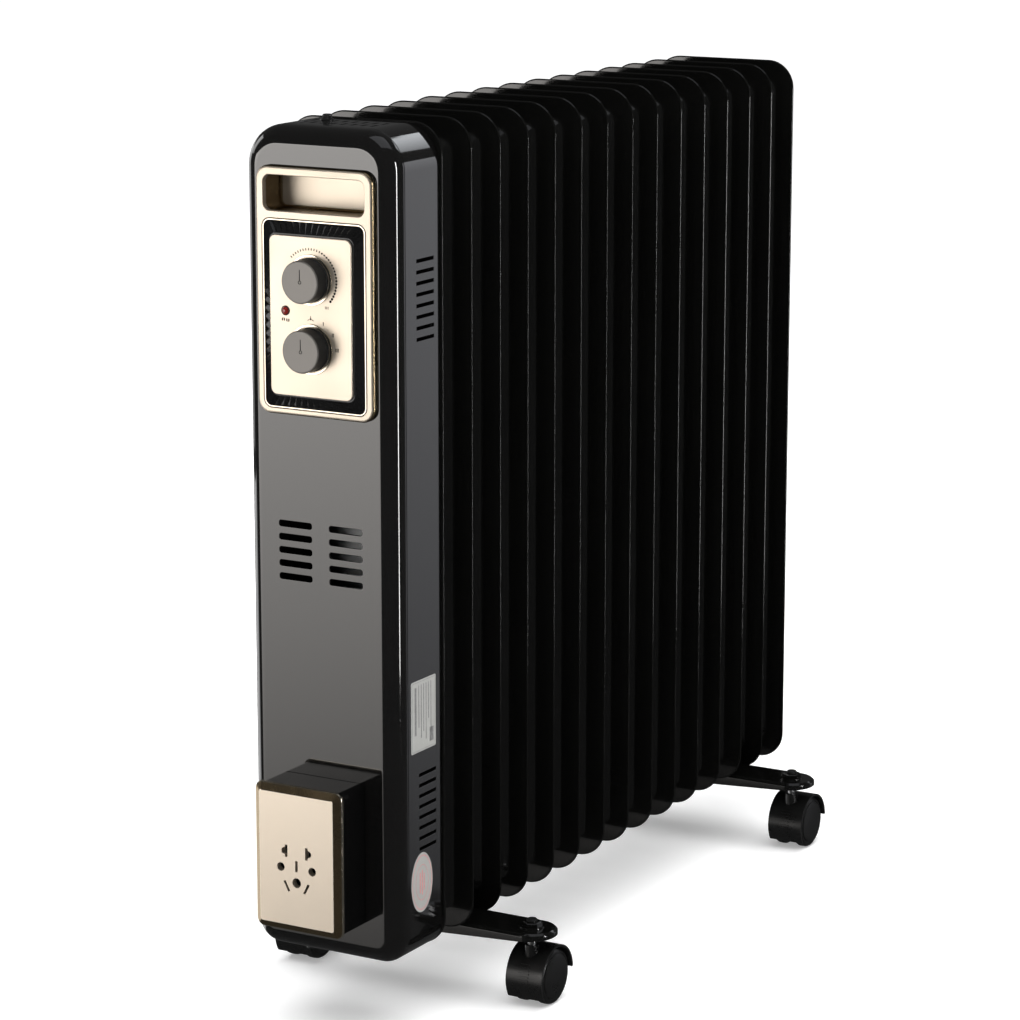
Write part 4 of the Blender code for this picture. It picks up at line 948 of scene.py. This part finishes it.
def make_stem(name, x, y):
    """The plated stem with its collar, and the black nut and washer on top of the leg."""
    low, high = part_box(f"{name}_stem")
    leg_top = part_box(f"{name.split('_')[0]}_leg")[1].z
    under = leg_top - 2.3 * MM
    foot = low.z
    profile = [
        (0, foot), (2.6 * MM, foot), (3 * MM, foot + 0.4 * MM), (3 * MM, under - 3.5 * MM),
        (6.4 * MM, under - 3.5 * MM), (7 * MM, under - 3 * MM), (7 * MM, under), (4 * MM, under),
        (4 * MM, high.z - 0.8 * MM), (3.3 * MM, high.z), (0, high.z),
    ]
    stem = lathe(profile[::-1], 40, "Z")
    for face in stem.faces:
        if face.calc_center_median().z > leg_top:
            face.material_index = 1
    piece(f"{name}_stem_plated", stem, [ZINC, SATIN], at=(x, y, 0), replaces=f"{name}_stem")
    nut = bmesh.new()
    add_rod(nut, 7.5 * MM, (0, 0, 0.3 * MM), (0, 0, 4.4 * MM), 6)
    chamfer = [e for e in nut.edges if all(v.co.z > 4 * MM for v in e.verts)]
    bmesh.ops.bevel(nut, geom=chamfer, offset=0.9 * MM, segments=3, affect="EDGES")
    at = (x, y, leg_top)
    piece(f"{name}_lock_nut", nut, ENAMEL, at=at, smooth=25)
    washer = lathe([(r * MM, a * MM) for r, a in WASHER], 48, "Z")
    piece(f"{name}_washer", washer, ENAMEL, at=at)


def make_wheels(name, body):
    """The two capped wheels on their axle. Gives the axle's middle and the wheels' radius in mm."""
    _, _, axle, (wide, _, tall) = spans(f"{name}_wheels")
    radius, half = tall / 2 / MM, wide / 2 / MM
    near = half - WHEEL_THICK
    side = [
        (2.0, near), (radius - 1.6, near), (radius - 0.5, near + 0.3),
        (radius - 0.05, near + 1.2), (radius, near + 3.2), (radius - 0.15, half - 3.4),
        (radius - 0.8, half - 2.2), (radius - 2.2, half - 1.3), (radius - 3.0, half - 1.2),
        (radius - 3.3, half - 1.6), (radius - 3.7, half - 1.5), (radius - 4.0, half - 0.8),
        (radius - 5.2, half - 0.35), (radius * 0.42, half - 0.05), (0, half),
    ]
    profile = [(r, -a) for r, a in reversed(side)] + side
    shape = lathe([(r * MM, a * MM) for r, a in profile], 72, "X")
    for face in shape.faces:
        at = face.calc_center_median()
        if math.hypot(at.y, at.z) > (radius - 1.0) * MM:
            face.material_index = 1
    piece(f"{name}_wheels_capped", shape, [NYLON, TREAD], body, axle, f"{name}_wheels",
          25)
    return axle, radius


def make_hood(name, body, axle, radius, stem_y):
    """The hood over the wheels, hollow on both sides of its web, with ribs and the stem's boss."""
    inner = radius / math.cos(math.pi / HOOD_SIDES) + HOOD_CLEARANCE
    outer = inner + HOOD_WALL
    _, high, _, (wide, _, _) = spans(f"{name}_hood")
    half = wide / 2
    shape = bmesh.new()
    add_rod(shape, outer * MM, (-half, 0, 0), (half, 0, 0), 72)
    hood = piece(f"{name}_hood_ribbed", shape, NYLON, body, axle, f"{name}_hood")
    pockets = bmesh.new()
    for sign in (-1, 1):
        ends = [(sign * x, 0, 0) for x in (5.2 * MM, half + MM)]
        add_rod(pockets, inner * MM, *ends, 72)
    below = bmesh.new()
    turn = Matrix.Rotation(HOOD_CUT, 4, "X")
    sunk = turn @ Vector((0, 0, -2 * outer * MM)) + Vector((0, 0, -HOOD_DROP))
    add_box(below, (4 * half, 6 * outer * MM, 4 * outer * MM), sunk, turn)
    boss = bmesh.new()
    y = -(axle.y - stem_y)
    top = high.z - axle.z
    add_rod(boss, 5.2 * MM, (0, y, 0), (0, y, top), 48)
    ribs = bmesh.new()
    for step in range(RIB_COUNT):
        angle = math.radians(RIB_FIRST + step * RIB_STEP)
        reach = outer + 0.15
        at = (0, math.cos(angle) * reach * MM, math.sin(angle) * reach * MM)
        add_box(ribs, (7.5 * MM, 0.9 * MM, 0.9 * MM), at, Matrix.Rotation(angle, 4, "X"))
    bores = bmesh.new()
    add_rod(bores, 3.4 * MM, (0, y, top - 14.6 * MM), (0, y, top + MM))
    add_rod(bores, 2.4 * MM, (-half, 0, 0), (half, 0, 0))
    steps = [cut(pockets, axle), cut(below, axle), join(boss, axle), join(ribs, axle)]
    carve(hood, [*steps, cut(bores, axle)], 0.35 * MM, 2, 32)


def make_caster(corner):
    name = f"{corner}_caster"
    low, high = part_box(f"{name}_stem")
    x, y = (low.x + high.x) / 2, (low.y + high.y) / 2
    make_stem(name, x, y)
    axle, radius = make_wheels(name, f"{corner}_wheel_pair")
    make_hood(name, f"{corner}_swivel_body", axle, radius, y)


REPAINTED = (  # CAD nodes that keep their shape
    (SHEET, ("rear_plate", "heating_element")),
    (PHENOLIC, ("thermostat_switch", "selector_switch", "tip_over_switch")),
    (DARK, ("socket_insert",)),
    (SATIN, ("oil_filler_plug", "cord_gland")),
    (GLASS, ("indicator_lamp",)),
    (ZINC, (
        "element_flange", "thermal_cutout", "thermostat_shaft", "selector_shaft",
        "front_u_bolt", "rear_u_bolt", "front_wing_nut_left", "front_wing_nut_right",
        "rear_wing_nut_left", "rear_wing_nut_right",
    )),
)


def repaint():
    for paint, nodes in REPAINTED:
        for node in nodes:
            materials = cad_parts[node].data.materials
            materials.clear()
            materials.append(paint)


# -------- studio

LIGHTS = (  # name, side, place, what it faces, watts
    ("overhead", 4.0, (0.3, -0.4, 3.0), (0.1, 0, 0), 185),
    ("front_fill", 1.6, (0.6, -2.6, 1.7), (0, 0, 0.3), 25),
    ("right_fill", 1.4, (2.6, 0.4, 1.4), (0, 0, 0.3), 14),
)
WARM, WHITE = (1.0, 0.965, 0.93), (1, 1, 1)
CARDS = (  # name, size, place, what it faces, brightness at its foot and its head, colour
    ("card_front", (0.95, 1.10), (-0.78, -1.30, 0.10), (0, -0.29, 0.30), (0.2, 4.3), WARM),
    ("card_right", (0.50, 1.6), (1.25, 1.75, 0.15), (0.06, -0.25, 0.35), (0.15, 1.0),
     (0.94, 0.95, 1.0)),
    ("card_top", (1.6, 1.2), (0.5, -0.2, 2.2), (0, 0, 0.5), (0.5, 0.5), (0.93, 0.95, 1.0)),
    ("card_high", (1.3, 0.8), (0.55, 2.3, 1.85), (0.06, -0.2, 0.6), (0.8, 2.2),
     (0.93, 0.96, 1.0)),
    ("card_left_high", (0.9, 0.9), (-2.2, -0.3, 1.2), (0, -0.3, 0.5), (1.2, 2.0), WHITE),
    ("card_low", (0.7, 0.7), (-1.0, -0.1, -0.15), (0, -0.3, 0.45), (1.2, 1.2), WHITE),
    ("strip_right", (0.16, 1.7), (2.3, -0.15, 0.5), (0, -0.15, 0.35), (16, 26), WHITE),
    ("card_back", (1.4, 1.0), (-2.2, 0.6, 0.45), (0, 0, 0.35), (0.5, 1.4), WHITE),
)
WORLD_GLOW = 0.05  # of the white surroundings, on everything but the camera
FLOOR_SIZE, FLOOR_DROP = 30, 0.0002
FLOOR_FADE, FLOOR_GLOW = (0.6, 2.2), (0.30, 1.0)  # metres from the middle, and its brightness
AZIMUTH, ELEVATION = math.radians(29.93), math.radians(12.20)
DISTANCE = 2.632
FOCAL = 3538 / 1020  # in widths of the picture
TARGET_BACK, TARGET_UP = 0.2584, 0.3259  # from the cover's front and the floor
SENSOR = 36


def facing(at, look_at):
    return (Vector(at) - Vector(look_at)).to_track_quat("Z", "Y").to_euler()


def grid_mesh(name, size):
    shape = bmesh.new()
    bmesh.ops.create_grid(shape, x_segments=1, y_segments=1, size=size)
    return mesh_of(name, shape)


def glow_card(name, size, at, look_at, strengths, colour):
    """A light panel that only reflections see."""
    made = placed(name, grid_mesh(name, 0.5))
    made.scale = (*size, 1)
    made.location = at
    made.rotation_euler = facing(at, look_at)
    paint = bpy.data.materials.new(name)
    paint.use_nodes = True
    tree = paint.node_tree
    tree.nodes.clear()
    split = tree.nodes.new("ShaderNodeSeparateXYZ")
    coords = tree.nodes.new("ShaderNodeTexCoord").outputs["Object"]
    link(tree, coords, split.inputs["Vector"])
    glow = tree.nodes.new("ShaderNodeEmission")
    glow.inputs["Color"].default_value = (*colour, 1)
    strength = spread(tree, split.outputs["Y"], *strengths, -0.5, 0.5)
    link(tree, strength, glow.inputs["Strength"])
    surface = tree.nodes.new("ShaderNodeOutputMaterial").inputs["Surface"]
    link(tree, glow.outputs["Emission"], surface)
    made.data.materials.append(paint)
    made.visible_camera = made.visible_diffuse = made.visible_shadow = False
    made.visible_transmission = made.visible_volume_scatter = False


def area_light(name, side, at, look_at, power):
    light = bpy.data.lights.new(name, "AREA")
    light.shape = "RECTANGLE"
    light.size = light.size_y = side
    light.energy = power
    made = placed(name, light)
    made.location = at
    made.rotation_euler = facing(at, look_at)
    made.visible_glossy = False


def make_floor():
    """A white floor that glows more with distance, so that it fades into the background."""
    floor = placed("floor", grid_mesh("floor", FLOOR_SIZE))
    floor.location = (0, 0, -FLOOR_DROP)
    paint = finish("floor_paint", (0.93, 0.93, 0.93), (0.7, 0.8), mottle=0.0, grain=(300, 0.01))
    tree = paint.node_tree
    away = tree.nodes.new("ShaderNodeVectorMath")
    away.operation = "LENGTH"
    link(tree, tree.nodes.new("ShaderNodeTexCoord").outputs["Object"], away.inputs[0])
    surface = tree.nodes["Principled BSDF"]
    surface.inputs["Emission Color"].default_value = (1, 1, 1, 1)
    glow = spread(tree, away.outputs["Value"], *FLOOR_GLOW, *FLOOR_FADE)
    link(tree, glow, surface.inputs["Emission Strength"])
    floor.data.materials.append(paint)
    floor.visible_glossy = False


def make_studio():
    world = bpy.data.worlds.new("studio")
    bpy.context.scene.world = world
    world.use_nodes = True
    tree = world.node_tree
    back = tree.nodes["Background"]
    back.inputs["Color"].default_value = (1, 1, 1, 1)
    seen = tree.nodes.new("ShaderNodeLightPath").outputs["Is Camera Ray"]
    link(tree, spread(tree, seen, WORLD_GLOW, 1.0, 0, 1), back.inputs["Strength"])
    make_floor()
    for light in LIGHTS:
        area_light(*light)
    for card in CARDS:
        glow_card(*card)


def make_camera():
    target = Vector((0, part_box("front_cover")[0].y + TARGET_BACK, TARGET_UP))
    level = math.cos(ELEVATION)
    towards = Vector((math.sin(AZIMUTH) * level, -math.cos(AZIMUTH) * level, math.sin(ELEVATION)))
    data = bpy.data.cameras.new("camera")
    data.sensor_width = SENSOR
    data.lens = SENSOR * FOCAL
    made = placed("camera", data)
    made.location = target + towards * DISTANCE
    made.rotation_euler = towards.to_track_quat("Z", "Y").to_euler()
    bpy.context.scene.camera = made
    bpy.context.scene.view_settings.view_transform = "Standard"


make_camera()
make_fins()
make_cover()
make_shell()
make_labels()
make_panel()
make_bezel()
make_plate()
make_controls()
make_outlet()
for leg in ("front_leg", "rear_leg"):
    make_leg(leg)
for corner in ("front_left", "front_right", "rear_left", "rear_right"):
    make_caster(corner)
repaint()
make_studio()
